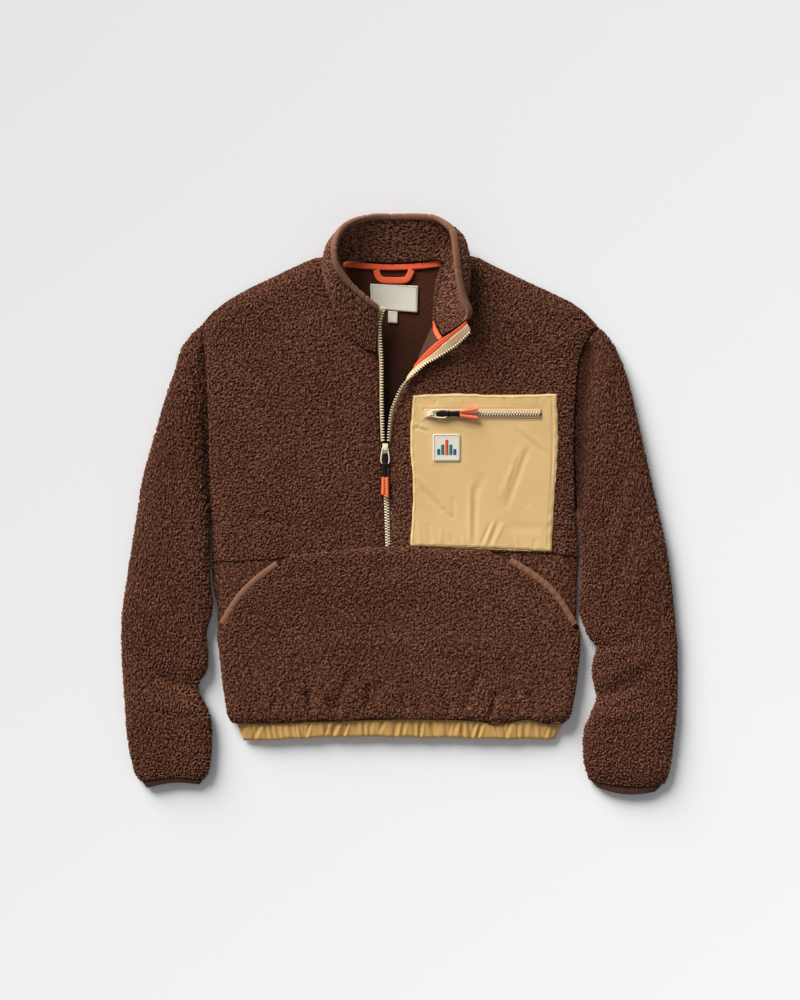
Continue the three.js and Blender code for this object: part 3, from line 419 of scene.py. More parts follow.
def relief(folds, x, y, taper=0.0):
    """Soft troughs and ridges: each one's height fades with smoothstep away from its line, and with
    a taper also towards its ends, by √(4t(1 - t)) for the share t of the way along."""
    height = np.zeros(np.shape(x))
    for ax, ay, bx, by, half_width, size in folds:
        dx, dy = bx - ax, by - ay
        t = np.clip(((x - ax) * dx + (y - ay) * dy) / (dx * dx + dy * dy), 0, 1)
        away = np.hypot(x - ax - t * dx, y - ay - t * dy)
        ends = 1 - taper + taper * np.sqrt(4 * t * (1 - t))
        height += size * ends * (1 - ease(0, half_width, away))
    return height


# %% [markdown]
# ## Curly pile as real relief
#
# Sherpa yarn is tufted in short fat curls. A cell of the grid holds one oval dome with its own
# place, turn and height, and the highest dome wins at each point. The gaps stay deep and dark.

# %% Tufts
TUFT_PITCH, TUFT_REACH, TUFT_SINK, TUFT_PRESSED = 2.9, 2.7, 1.3, 1.4


def chance(i, j, salt):
    """A fixed number from 0 to 1 for a grid cell: the fraction of a large sine."""
    return np.modf(np.abs(np.sin(i * 127.1 + j * 311.7 + salt * 74.7) * 43758.5453))[0]


def tufts(a, b, salt=SEED):
    """Highest of the domes 1 - p² - q² round a point, p and q along and across each oval."""
    a, b = a / TUFT_PITCH, b / TUFT_PITCH
    a = a + 0.2 * np.sin(1.7 * b + 0.6 * a)
    b = b + 0.2 * np.sin(1.9 * a - 0.5 * b)
    height = np.zeros(a.shape)
    for di in (-1, 0, 1):
        for dj in (-1, 0, 1):
            i, j = np.floor(a) + di, np.floor(b) + dj
            x = a - i - 0.5 - 0.8 * (chance(i, j, salt) - 0.5)
            y = b - j - 0.5 - 0.8 * (chance(i, j, salt + 1) - 0.5)
            turn = math.tau * chance(i, j, salt + 2)
            p = (x * np.cos(turn) + y * np.sin(turn)) / 0.78
            q = (y * np.cos(turn) - x * np.sin(turn)) / 0.56
            dome = np.maximum(0, 1 - p * p - q * q) * (0.6 + 0.4 * chance(i, j, salt + 3))
            height = np.maximum(height, dome)
    return height


def normals(grid):
    """Unit normals of a grid of points: the cross product of its two slopes."""
    n = np.cross(np.gradient(grid, axis=0), np.gradient(grid, axis=1))
    return n / np.maximum(np.linalg.norm(n, axis=-1, keepdims=True), 1e-9)


# %% [markdown]
# ## From grids to meshes
#
# A piece of cloth has a thickness, so its mesh is closed: each section is a ring that runs over the
# face and back underneath. The face has close points for its pile, the underside far fewer.

# %% Meshes
GARMENT = "garment"
badge_low, badge_high = (np.array(corner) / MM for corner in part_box("badge"))
BADGE_CENTRE = (65.5, 80.0)
ORIGIN = np.array([*((badge_low + badge_high)[:2] / 2 - BADGE_CENTRE), 0.0])
made_triangles = {}


def lay(name, finish, grid, loop=False, body=GARMENT, slot="", node=None, **attributes):
    """A mesh over a grid: the first index runs round a ring, the second along. loop joins the last
    ring to the first, otherwise the end rings are closed. Its faces are turned outwards by the sign
    of the summed volume a · (b × c). node names the solid that it stands for."""
    m, n = grid.shape[:2]
    i, j = np.meshgrid(np.arange(m), np.arange(n if loop else n - 1), indexing="ij")
    at = lambda a, b: (a % m) * n + b % n
    quads = np.stack([at(i, j), at(i + 1, j), at(i + 1, j + 1), at(i, j + 1)], -1).reshape(-1, 4)
    points = grid.reshape(-1, 3)
    a, b, c, d = (points[quads[:, k]] for k in range(4))
    volume = np.einsum("ij,ij->", a, np.cross(b, c)) + np.einsum("ij,ij->", a, np.cross(c, d))
    faces = quads.tolist()
    if not loop:
        faces += [(np.arange(m) * n)[::-1].tolist(), (np.arange(m) * n + n - 1).tolist()]
    if volume < 0:
        faces = [face[::-1] for face in faces]
    piece = finish_piece(name, finish, points, faces, body, attributes)
    if node:
        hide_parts(node)
    return piece


def finish_piece(name, finish, points, faces, body, attributes):
    """Puts points (mm) and faces in a mesh at the CAD origin, smooth, with its finish and body."""
    mesh = bpy.data.meshes.new(name)
    mesh.from_pydata(((points + ORIGIN) * MM).tolist(), [], faces)
    mesh.polygons.foreach_set("use_smooth", np.ones(len(mesh.polygons), bool))
    for label, values in attributes.items():
        layer = mesh.attributes.new(label, "FLOAT", "POINT")
        layer.data.foreach_set("value", np.asarray(values, np.float32).ravel())
    mesh.materials.append(finish.material)
    mesh.validate()
    piece = bpy.data.objects.new(name, mesh)
    bpy.context.collection.objects.link(piece)
    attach(piece, body)
    made_triangles[name] = sum(len(face) - 2 for face in faces)
    print(f"{name}: {made_triangles[name]} triangles")
    return piece


def cut_of(grid):
    """Width, length and area in metres of the smooth cloth before its pile: summed cells."""
    du, dv = np.diff(grid, axis=0)[:, :-1], np.diff(grid, axis=1)[:-1]
    area = np.linalg.norm(np.cross(du, dv), axis=-1).sum() * MM * MM
    width = np.linalg.norm(np.diff(grid, axis=0), axis=-1).sum(0).max() * MM
    length = np.linalg.norm(np.diff(grid, axis=1), axis=-1).sum(1).max() * MM
    return (float(width), float(length)), float(min(area, width * length))


def as_sheet(cloth_grid):
    size, area = cut_of(cloth_grid)
    print(f"  cut {size[0]:.3f} x {size[1]:.3f} m, {area:.4f} m2")


def underside(face, under, columns):
    """Points under a face: back from its last column to its first, at the under height."""
    picks = np.linspace(face.shape[0] - 1, 0, columns).astype(int)
    below = face[picks].copy()
    below[..., 2] = under(below[..., 0], below[..., 1])
    return below


def pile_panel(name, node, xy, top, under, nap_of=None, calm=None, sink=TUFT_SINK, columns=14,
               salt=SEED):
    """A laid pile panel. Its face is the cloth's height, minus sink, plus the reach of the tufts,
    moved along the face's own normal. calm says where something lies on it and flattens the pile."""
    base = np.dstack([xy, top(xy[..., 0], xy[..., 1])])
    x, y = base[..., 0], base[..., 1]
    curl = tufts(x, y, salt)
    quiet = calm(x, y) if calm else np.zeros(x.shape)
    lift = (TUFT_REACH * curl - sink) * (1 - quiet) - TUFT_PRESSED * quiet
    face = base + normals(base) * lift[..., None]
    nap_face = nap_of(x, y) if nap_of else np.ones(x.shape)
    below = underside(base, under, columns)
    flat = np.zeros(below.shape[:2])
    piece = lay(name, pile, np.concatenate([face, below]), node=node, slot="pile",
                pile=np.concatenate([curl, flat]), nap=np.concatenate([nap_face, flat]))
    as_sheet(base)


# %% [markdown]
# ## The body's layout
#
# These tables are the CAD model's: the outline of the body, the seams, the open zip's edges and the
# soft forms of the front.

# %% Layout tables
SEAM_GAP = 0.4
PILE_WALL, POCKET_WALL, FACING_WALL = 6.2, 5.6, 5.2
LAYER_LIFT, LIFT_REACH = 2.0, 22
BACK_TOP = 6.0
FRONT_UNDER = BACK_TOP + SEAM_GAP
FRONT_TOP = FRONT_UNDER + LAYER_LIFT + PILE_WALL
FACING_TOP = FRONT_UNDER + LAYER_LIFT + FACING_WALL
NYLON_WALL, TAPE_WALL = 1.4, 1.2

SHOULDER_RIGHT = [(-275, 253), (-255, 274), (-218, 298), (-177, 318), (-130, 340), (-109, 346), (-92, 344)]
SHOULDER_LEFT = [(61, 343), (90, 347), (110, 345), (135, 332), (174, 314), (215, 295), (250, 276),
                 (276, 251)]
SIDE_RIGHT = [(-262, -40), (-262, -79), (-260, -111), (-254, -148), (-254, -178), (-251, -209),
              (-247, -246), (-240, -293)]
SIDE_LEFT = [(248, -40), (250, -72), (248, -110), (247, -160), (252, -178), (248, -239), (240, -288)]
BOTTOM = [(-240, -293), (-229, -304), (-200, -303), (-100, -304), (0, -303), (100, -302), (200, -303),
          (229, -302), (240, -288)]
WAIST_SEAM = [(-262, -79), (-184, -75), (-97, -66), (-16, -59), (57, -62), (141, -65), (212, -67),
              (250, -72)]
BACK_NECK = [(-92, 344), (-60, 342), (-10, 341), (40, 342), (61, 343)]
FRONT_EDGE_RIGHT = [(-20.6, -59), (-22.4, 10), (-25, 75), (-28.5, 110), (-29, 150), (-29.5, 200),
                    (-36, 216), (-49, 225), (-62, 241), (-75, 264), (-81, 290), (-83, 316), (-92, 344)]
FRONT_EDGE_LEFT = [(-11.4, -59), (-13.6, 10), (-15, 75), (-12.4, 112), (-7.4, 132.4), (-0.6, 153.6),
                   (7, 168.4), (20, 185), (28, 202), (37, 219), (46, 233), (46.5, 258), (46.8, 280),
                   (48.5, 300), (53, 320), (61, 343)]
ARMHOLE_RIGHT = ((-275, 253), (-264, -5), 3, 0.35)
ARMHOLE_LEFT = ((276, 251), (245, -5), -20, 0.22)
FRONT_FOLDS = [
    (-215, 200, -165, 60, 26, 1.6), (-120, 250, -95, 120, 24, 1.2), (-205, -20, -90, -35, 16, -1.4),
    (150, 265, 215, 225, 22, 1.6), (110, 300, 90, 230, 14, -1.4),
]
POCKET_FOLDS = [
    (-120, -268, -145, -215, 12, -2.4), (-88, -282, -70, -238, 10, -2.2),
    (-40, -285, -30, -252, 11, -1.8), (30, -284, 18, -246, 10, -1.6), (92, -280, 112, -236, 11, -2.0),
    (168, -282, 150, -232, 12, -2.6), (-190, -270, -205, -225, 14, -1.6),
    (-150, -120, 120, -112, 34, 1.4), (-90, -190, 140, -200, 30, 1.2),
]
MOUTH_RIGHT = [(-252, -166), (-231, -132), (-212, -110), (-192, -93), (-172, -79)]
MOUTH_LEFT = [(249, -168), (228, -133), (206, -108), (180, -89), (156, -74)]
MOUTH_BINDING_WIDTH = 7
# Where the pile meets the hem, and the hem's own lower edge, as they wave in the photo
HEM_SEAM = [(-228, -303), (-192, -304.5), (-139, -303), (-104, -296), (-83, -301.5), (-41, -296),
            (1, -297.5), (50, -299), (85, -299), (113, -301.5), (131, -306), (155, -303), (176, -297.5),
            (204, -304.5), (229, -304)]
SEAM_LEVEL = -303
HEM_EDGE = [(-216, -329.5), (-76, -323), (1, -324), (141, -326.5), (212, -327), (222, -322)]
CHEST_POCKET = {
    "bottom": [(15, -57), (70, -58.5), (140, -61), (212, -65)],
    "top": [(19, 153), (80, 155), (150, 153), (219, 155)],
    "right": [(15, -57), (19, 20), (15, 90), (19, 153)],
    "left": [(212, -65), (216, 10), (221, 90), (219, 155)],
}


def wavy_bottom(xy):
    """Moves the lowest 40 mm of a panel along the hem's waving seam: by the ease of the way up."""
    wave = np.interp(xy[..., 0], *zip(*HEM_SEAM)) - SEAM_LEVEL
    moved = xy.copy()
    moved[..., 1] += wave * (1 - ease(0, 40, xy[..., 1] - SEAM_LEVEL))
    return moved


def bowed(outer, inner, bow, peak, share):
    """A point of a section's line, pushed sideways: a quarter sine up to its peak and down again."""
    turn = np.where(share < peak, share / peak, (1 - share) / (1 - peak))
    push = bow * np.sin(turn * np.pi / 2)
    dx, dy = inner[0] - outer[0], inner[1] - outer[1]
    reach = np.hypot(dx, dy)
    return outer[0] + dx * share - push * dy / reach, outer[1] + dy * share + push * dx / reach


def armhole_rows(tip, underarm, bow, peak):
    shares = np.array([0, 0.06, 0.14, 0.22, 0.34, 0.5, 0.68, 0.84, 1])
    return list(zip(*bowed(tip, underarm, bow, peak, shares)))


ARM_RIGHT, ARM_LEFT = armhole_rows(*ARMHOLE_RIGHT), armhole_rows(*ARMHOLE_LEFT)
FULL_RIGHT = SIDE_RIGHT[::-1] + ARM_RIGHT[::-1]
FULL_LEFT = SIDE_LEFT[::-1] + ARM_LEFT[::-1]
RIM = [SHOULDER_RIGHT, SHOULDER_LEFT, [ARM_RIGHT[-1], *SIDE_RIGHT], [ARM_LEFT[-1], *SIDE_LEFT]]
ARMS = [ARM_RIGHT, ARM_LEFT]
OPENING = [along(FRONT_EDGE_RIGHT, np.linspace(0, 1, 41)), along(FRONT_EDGE_LEFT, np.linspace(0, 1, 41))]


def front_under(x, y):
    gap = np.minimum(np.minimum(distance(RIM, x, y), distance(ARMS, x, y)), distance(OPENING, x, y))
    return FRONT_UNDER + LAYER_LIFT * ease(0, LIFT_REACH, gap)


def front_top(x, y):
    rim = fall(distance(RIM, x, y), 20, 4.4)
    arm = fall(distance(ARMS, x, y), 12, 2.4)
    opening = fall(distance(OPENING, x, y), 10, 2.8)
    return (front_under(x, y) + PILE_WALL + relief(FRONT_FOLDS, x, y)
            - np.maximum(np.maximum(rim, arm), opening))


# %% [markdown]
# ## Back and fronts
#
# The back lies flat on the floor. Inside the open collar its smooth knitted side shows, and only
# its rim is pile. The two fronts lie over it, either side of the zip.

# %% Back panel
FACE_PITCH = 1.26


def counts(width, length, pitch=FACE_PITCH):
    """Even steps over a patch so that its cells are about one pitch wide."""
    return np.linspace(0, 1, round(width / pitch)), np.linspace(0, 1, round(length / pitch))


back_rim = RIM + ARMS + [BOTTOM]
u, v = counts(550, 650, 5.0)
back_xy = coons(BOTTOM, SHOULDER_RIGHT + BACK_NECK[1:-1] + SHOULDER_LEFT, FULL_RIGHT, FULL_LEFT, u, v)
pile_panel(
    "back_pile", "back_panel", wavy_bottom(back_xy),
    top=lambda x, y: BACK_TOP - fall(distance(back_rim, x, y), 8, 0.8),
    under=lambda x, y: fall(distance(back_rim, x, y), 7, 2.2),
    nap_of=lambda x, y: 1 - ease(4, 9, distance(back_rim, x, y)),
    calm=lambda x, y: ease(2, 8, distance(back_rim, x, y)))

# %% Front panels
def seam_share(x):
    shares = np.linspace(0, 1, 400)
    return float(np.interp(x, along(WAIST_SEAM, shares)[:, 0], shares))


def seam_cut(start, end):
    return [tuple(row) for row in along(WAIST_SEAM, np.linspace(start, end, 13))]


def under_pocket(x, y):
    """1 where the chest pocket covers the pile, 0 outside it: the ease across its outline."""
    left, right = 17.0, 216.0
    low, high = -62.0, 154.0
    inside = np.minimum(np.minimum(x - left, right - x), np.minimum(y - low, high - y))
    return ease(-1, 5, inside)


seam_right = seam_cut(0, seam_share(FRONT_EDGE_RIGHT[0][0]))
seam_left = seam_cut(seam_share(FRONT_EDGE_LEFT[0][0]), 1)
side_right = [seam_right[0]] + [row for row in FULL_RIGHT if row[1] > -78]
side_left = [seam_left[-1]] + [row for row in FULL_LEFT if row[1] > -71]
edge_right = [seam_right[-1]] + FRONT_EDGE_RIGHT[1:]
edge_left = [seam_left[0]] + FRONT_EDGE_LEFT[1:]
u, v = counts(250, 410)
pile_panel(
    "front_right_pile", "front_right", coons(seam_right, SHOULDER_RIGHT, side_right, edge_right, u, v),
    front_top, front_under)
u, v = counts(275, 400)
pile_panel(
    "front_left_pile", "front_left", coons(seam_left, SHOULDER_LEFT, edge_left, side_left, u, v),
    front_top, front_under, calm=under_pocket, salt=SEED + 7)

# %% [markdown]
# ## Lower front and hand pocket
#
# The lower front shows only in the two slanted mouths of the hand pocket, so its grid is fine there
# and coarse between. The hand pocket is a second layer of pile over it, puckered above the hem.

# %% Lower front
def dropped(rows, by):
    return [(x, y - by) for x, y in rows]


def below(rows, y):
    return [row for row in rows if row[1] < y]


def facing_under(x, y):
    return FRONT_UNDER + LAYER_LIFT * ease(0, LIFT_REACH, distance(RIM, x, y))


def facing_top(x, y):
    side = facing_under(x, y) + FACING_WALL - fall(distance(RIM, x, y), 30, 4.0)
    return np.minimum(side, FACING_TOP - fall(distance([BOTTOM], x, y), 22, 3.0))


facing_line = dropped(WAIST_SEAM, SEAM_GAP)
fine = np.linspace(0, 0.2, 60)
u = np.concatenate([fine, np.linspace(0.2, 0.8, 30)[1:-1], (1 - fine)[::-1]])
v = np.concatenate([np.linspace(0, 0.4, 14)[:-1], np.linspace(0.4, 1, 78)])
facing_xy = coons(BOTTOM, facing_line, below(FULL_RIGHT, -81) + [facing_line[0]],
                  below(FULL_LEFT, -74) + [facing_line[-1]], u, v)


def behind_pocket(x, y):
    """1 where the hand pocket covers the lower front, 0 in its mouths."""
    covered = np.minimum(mouth_side(MOUTH_RIGHT, x, y, -1), mouth_side(MOUTH_LEFT, x, y, 1))
    return ease(0, 6, covered)


def mouth_side(rows, x, y, side):
    """Signed distance in from a mouth's line: the cross product with its chord, over its length."""
    (ax, ay), (bx, by) = rows[0], rows[-1]
    return side * ((x - ax) * (by - ay) - (y - ay) * (bx - ax)) / -math.hypot(bx - ax, by - ay)


pile_panel(
    "front_lower_pile", "front_lower", wavy_bottom(facing_xy), facing_top, facing_under,
    calm=behind_pocket, salt=SEED + 13, sink=1.8)

# %% Hand pocket
def inset(rows, by):
    """A table's rows moved sideways: along the normal of the curve through them."""
    t = np.linspace(0, 1, len(rows))
    return [tuple(row) for row in spline(rows, t) + by * left_of(heading(spline, rows, t, 1e-4))]


mouth_right = inset(MOUTH_RIGHT, -MOUTH_BINDING_WIDTH)
mouth_left = inset(MOUTH_LEFT, MOUTH_BINDING_WIDTH)
seam_part = [row for row in dropped(along(WAIST_SEAM, np.linspace(0, 1, 25)), -1.2)
             if mouth_right[-1][0] + 12 < row[0] < mouth_left[-1][0] - 12]
pocket_top = [mouth_right[-1], *seam_part, mouth_left[-1]]
pocket_edge = [along(pocket_top, np.linspace(0, 1, 31))]


def pocket_under(x, y):
    return FACING_TOP + SEAM_GAP - np.maximum(
        fall(distance(RIM, x, y), 14, 2.6), fall(distance([BOTTOM], x, y), 12, 2.0))


def pocket_face(x, y):
    drop = np.maximum(fall(distance(RIM, x, y), 18, 4.0), fall(distance([BOTTOM], x, y), 16, 5.6))
    drop = np.maximum(drop, fall(distance(pocket_edge, x, y), 14, 4.6))
    drop = np.maximum(drop, fall(distance([mouth_right, mouth_left], x, y), 8, 1.4))
    height = FACING_TOP + SEAM_GAP + POCKET_WALL + relief(POCKET_FOLDS, x, y)
    return height - drop + 1.3 * relief(PUCKERS, x, y)


PUCKERS = [
    (-121, -285, -128, -262, 9, -2.6), (-46, -280, -42, -255, 8, -2.2), (-180, -288, -172, -270, 7, -1.6),
    (10, -284, 4, -266, 7, -1.6), (70, -286, 62, -264, 8, -2.0), (128, -292, 134, -264, 7, -2.4),
    (190, -288, 182, -262, 8, -2.0), (-85, -288, -98, -272, 7, -1.8),
]

u, v = counts(500, 235, 1.3)
pocket_xy = coons(BOTTOM, pocket_top, below(FULL_RIGHT, -176) + mouth_right,
                  below(FULL_LEFT, -176) + mouth_left, u, v)
pile_panel(
    "hand_pocket_pile", "hand_pocket", wavy_bottom(pocket_xy), pocket_face, pocket_under,
    salt=SEED + 23, columns=24)

# %% [markdown]
# ## Sleeves
#
# A sleeve is a flattened tube. Each section is a rounded box between its outer and inner edge, and
# the tube is open at the cuff: the outer face turns in at both ends and runs back inside.

# %% Sleeves
SLEEVE_RIGHT = [
    (-276, 253, -265, -5, 12.6, 3, 0.35), (-293, 236, -264.5, -22, 16, 2, 0.35),
    (-306, 215, -264.5, -39, 18, 1, 0.4), (-314, 187, -264, -57, 19, 0, 0.5),
    (-326, 153, -264, -76, 20, 0, 0.5), (-338, 111, -264, -95, 20.5, 0, 0.5),
    (-351, 66, -263, -117, 20.5, 0, 0.5), (-360, 31, -260, -137, 20, 0, 0.5),
    (-366, -10, -263, -156, 20, 0, 0.5), (-373, -52, -269, -181, 19, 0, 0.5),
    (-380, -99, -266.5, -204, 19.5, 0, 0.5), (-387, -148, -268, -229, 18.5, 0, 0.5),
    (-388.5, -190, -279, -248, 17.5, 0, 0.5), (-387, -229, -278, -265, 18.5, 0, 0.5),
    (-384, -270, -268, -283, 19.5, 0, 0.5), (-382, -302, -262, -305, 19.5, 0, 0.5),
    (-379, -332, -261.5, -331, 18.5, 0, 0.5), (-374, -357, -263, -355, 17.5, 0, 0.5),
    (-369, -376, -267, -374, 16, 3, 0.5), (-361, -386, -273, -383, 14, 5, 0.5),
]
SLEEVE_LEFT = [
    (277.2, 251.5, 246.2, -5, 12.6, -19.4, 0.22), (296, 229, 248.5, -22, 16, -14, 0.22),
    (309, 203, 250.5, -40, 18, -8, 0.25), (320, 170, 252, -58, 19, -3, 0.3),
    (330, 128, 252.5, -76, 20, 0, 0.5), (341, 81, 252, -98, 20.5, 0, 0.5),
    (352, 31, 250.5, -126, 20.5, 0, 0.5), (362, -13, 250, -147, 20, 0, 0.5),
    (372, -57, 256, -166, 20, 0, 0.5), (379, -103, 262, -182, 19.5, 0, 0.5),
    (383.5, -148, 274, -198, 18.5, 0, 0.5), (387.5, -190, 270, -216, 19, 0, 0.5),
    (388.5, -229, 268, -236, 18, 0, 0.5), (388, -264, 274, -268, 18, 0, 0.5),
    (386.5, -297, 266, -291, 19.5, 0, 0.5), (383, -327, 257, -314, 19.5, 0, 0.5),
    (380, -352, 255.5, -340, 18.5, 0, 0.5), (376, -374, 258, -364, 17.5, 2, 0.5),
    (370, -389, 264, -383, 14, 6, 0.5),
]
CUFF_RIGHT = [(-359, -386.4, -275, -383.5, 11.5, 5, 0.5), (-353, -395, -279, -390, 11, 5, 0.5)]
CUFF_LEFT = [(367, -389.8, 267, -384.1, 11.5, 6, 0.5), (357, -400, 276, -394, 11, 6.5, 0.5)]
SQUARENESS = 0.62
SLEEVE_FOLDS = [
    (-280, -258, -345, -238, 16, -3.0), (-292, -232, -350, -205, 15, 1.8),
    (-285, -286, -340, -275, 14, 2.0), (-330, 20, -290, -70, 16, -1.6), (-345, -60, -310, -140, 14, 1.4),
    (-300, 120, -285, 20, 18, 1.5), (-365, -150, -330, -200, 12, -1.4), (274, -268, 335, -246, 16, -3.0),
    (280, -240, 345, -216, 15, 1.8), (280, -296, 340, -286, 14, 2.0), (275, -200, 335, -190, 12, -1.8),
    (320, 60, 285, -40, 16, -1.6), (350, -60, 320, -130, 14, 1.5), (300, 130, 280, 40, 18, 1.4),
    (290, 200, 284, 110, 15, 1.6), (-280, 190, -270, 60, 12, -2.6), (330, -10, 290, -150, 14, -1.4),
    (-350, -60, -300, -170, 14, -1.4), (-375, -200, -350, -240, 10, -1.2),
    (370, -190, 345, -235, 10, -1.2),
]
# Beside each armhole the sleeve dips in a valley: its line, half width, depth and painted shade
VALLEYS = [([(264, 216), (254, 150), (250, 70), (246, 0)], 18, 5.2, 0.8),
           ([(-275, 215), (-269, 120), (-268, 20)], 9, 2.2, 0.35)]
# The mouth of a sleeve is tucked in by some mm under the front and is a little lower there
TUCK, TUCK_DROP = 2.4, 0.24
SLEEVE_TOP_COLUMNS, SLEEVE_UNDER_COLUMNS, SLEEVE_STATIONS = 150, 36, 400
SLEEVE_SLIT = 3.2


def tube_rings(rows, turns, stations, inward, low, high):
    """Sections of a flattened tube: side and lift are the cosine and sine of the turn raised to a
    squareness, so the section is a box with round sides. inward moves it in from the wall."""
    table = spline(rows, stations)
    ox, oy, ix, iy, height, bow, peak = (table[None, :, k] for k in range(7))
    c, s = np.cos(turns)[:, None], np.sin(turns)[:, None]
    side = np.sign(c) * np.abs(c) ** SQUARENESS
    lift = np.minimum(1, 1.05 * np.abs(s) ** SQUARENESS) * np.sign(s)
    start = inward / np.hypot(ix - ox, iy - oy)
    share = mix(start, 1 - start, (1 - side) / 2)
    x, y = bowed((ox, oy), (ix, iy), bow, peak, share)
    lowest, highest = low(height), high(height)
    return np.stack([x, y, (lowest + highest) / 2 + lift * (highest - lowest) / 2], -1)


def girth_turns(top, bottom):
    """Turns round the tube, evenly spread over its width: close over the top, far apart below."""
    share = np.concatenate([np.linspace(1, -1, top)[:-1], np.linspace(-1, 1, bottom)[:-1]])
    angle = np.arccos(np.sign(share) * np.abs(share) ** (1 / SQUARENESS))
    return np.where(np.arange(len(share)) < top - 1, angle, -angle)


def sleeve(name, node, rows, salt):
    turns = girth_turns(SLEEVE_TOP_COLUMNS, SLEEVE_UNDER_COLUMNS)
    even = np.linspace(0, 1, SLEEVE_STATIONS)
    base = tube_rings(rows, turns, even, 0, lambda h: 0 * h, lambda h: h)
    over = (np.sin(turns) > 0)[:, None] * ease(0, 9, base[..., 2])
    base[..., 2] += relief(SLEEVE_FOLDS, base[..., 0], base[..., 1], 0.8) * over
    valley_shade = np.zeros(base.shape[:2])
    for line, half_width, depth, dark in VALLEYS:
        near = 1 - ease(0, half_width, distance([line], base[..., 0], base[..., 1]))
        base[..., 2] -= depth * near * over
        valley_shade += dark * near * over
    tuck = (1 - ease(0, 0.02, even))[None]
    base[..., 0] -= np.sign(rows[0][0]) * TUCK * tuck
    base[..., 2] *= 1 - TUCK_DROP * tuck
    curl = tufts(base[..., 0] + 0.6 * base[..., 2], base[..., 1] + 0.4 * base[..., 2], salt=salt)
    resting = 1 - ease(0.6, 3.0, base[..., 2])
    out = normals(base)
    out *= np.sign(out[SLEEVE_TOP_COLUMNS // 2, SLEEVE_STATIONS // 2, 2])
    face = base + out * ((TUFT_REACH * curl - TUFT_SINK) * (1 - resting))[..., None]
    # Painted shade: the pile's colour is darker in the valleys, and a little darker over all the sleeve
    curl = curl * (1 - 0.55 * valley_shade) - 0.24 * valley_shade - 0.04
    face[..., 2] = np.maximum(face[..., 2], 0.0)
    slit = lambda h: np.minimum(SLEEVE_SLIT, h - 11)
    inside = tube_rings(rows, turns, np.linspace(1, 0, 24), 8, lambda h: (h - slit(h)) / 2,
                        lambda h: (h + slit(h)) / 2)
    flat = np.zeros(inside.shape[:2])
    piece = lay(name, pile, np.concatenate([face, inside], 1), loop=True, node=node, slot="pile",
                pile=np.concatenate([curl, flat], 1), nap=np.concatenate([np.ones(curl.shape), flat], 1))
    as_sheet(np.concatenate([base, base[:1]]))


sleeve("sleeve_right_pile", "sleeve_right", SLEEVE_RIGHT, SEED + 31)
sleeve("sleeve_left_pile", "sleeve_left", SLEEVE_LEFT, SEED + 41)

# %% [markdown]
# ## Collar
#
# The collar stands open. Its middle surface runs from the neck seam to the top edge with a bulge
# between, pile on both sides, and its top edge is bound in smooth stretch binding.

# %% Collar
COLLAR = [
    (-33, 213, 15, -28, 279, 33, 3), (-50, 220, 15, -41.6, 291.3, 38, 6),
    (-67, 237, 15, -59.2, 307, 43, 8.5), (-80, 262, 15, -72, 322, 48, 13),
    (-86, 290, 15, -81, 336, 52, 17), (-87, 316, 15, -83.5, 354, 54, 19),
    (-84, 334, 14, -81.5, 372, 50, 15), (-68, 341, 11, -70, 389.5, 43, 10),
    (-42, 340, 7.2, -40, 402.2, 33, 4), (-10, 338.5, 7.2, -8, 404.2, 28, 2),
    (26, 340, 7.2, 28, 403.2, 31, 4), (50, 342, 11, 51.2, 396.6, 38, 12), (62, 335, 15, 67, 377, 48, 24),
    (61, 318, 16, 69, 347, 54, 31), (55.5, 300, 16, 72.5, 318, 55, 31), (52, 280, 16, 83.5, 292, 52, 21),
    (52, 258, 17, 97, 270, 47, 10), (60, 237, 19, 94, 257, 42, 2),
]
COLLAR_CENTRE = (-10, 290)
COLLAR_WALL, COLLAR_DEPTH = 6.0, 70
COLLAR_REACH, COLLAR_SINK = 2.6, 1.4
COLLAR_FOOT = BACK_TOP - 3
RIM_SHARE = 0.88
seam_rows = [row[:3] for row in COLLAR]
top_rows = [row[3:6] for row in COLLAR]
bulge_rows = [(row[6],) for row in COLLAR]


def collar_point(u, v):
    """From seam to top edge in a straight line, bulged outwards by 4v(1 - v) times the bulge."""
    low, high = spline(seam_rows, u), spline(top_rows, u)
    away = unit(low[..., :2] - COLLAR_CENTRE)
    bulge = spline(bulge_rows, u) * 4 * (v * (1 - v))[..., None]
    point = mix(low, high, v[..., None])
    point[..., :2] += away * bulge
    return point


def collar_normal(u, v):
    step = 1e-3
    along_u = collar_point(np.minimum(1, u + step), v) - collar_point(np.maximum(0, u - step), v)
    along_v = collar_point(u, v + step) - collar_point(u, v - step)
    return unit(np.cross(along_u, along_v))


RIM_ROWS = 48
up = np.linspace(0, RIM_SHARE, RIM_ROWS)
shares = np.concatenate([up, up[::-1]])
sides = np.concatenate([-np.ones(RIM_ROWS), np.ones(RIM_ROWS)])
stations = np.linspace(0, 1, 400)
V, U = np.meshgrid(shares, stations, indexing="ij")
middle_surface = collar_point(U, V)
out = collar_normal(U, V) * sides[:, None, None]
round_length = length_of(seam_rows)
# One side's tufts are read 200 mm further on, so that the two sides differ
curl = tufts(U * round_length, V * COLLAR_DEPTH + 200 * (sides[:, None] > 0), salt=SEED + 53)
curl[0] = curl[-1] = 0
face = middle_surface + out * (COLLAR_WALL / 2 + COLLAR_REACH * curl - COLLAR_SINK)[..., None]
face[..., 2] = np.maximum(face[..., 2], COLLAR_FOOT)
# Painted light: the collar's pile colour is lifted 0.12 along its ramp, against the shade its inside lies in
collar = lay("collar_pile", pile, face, node="collar", slot="pile", pile=curl + 0.12,
             nap=np.ones(curl.shape))

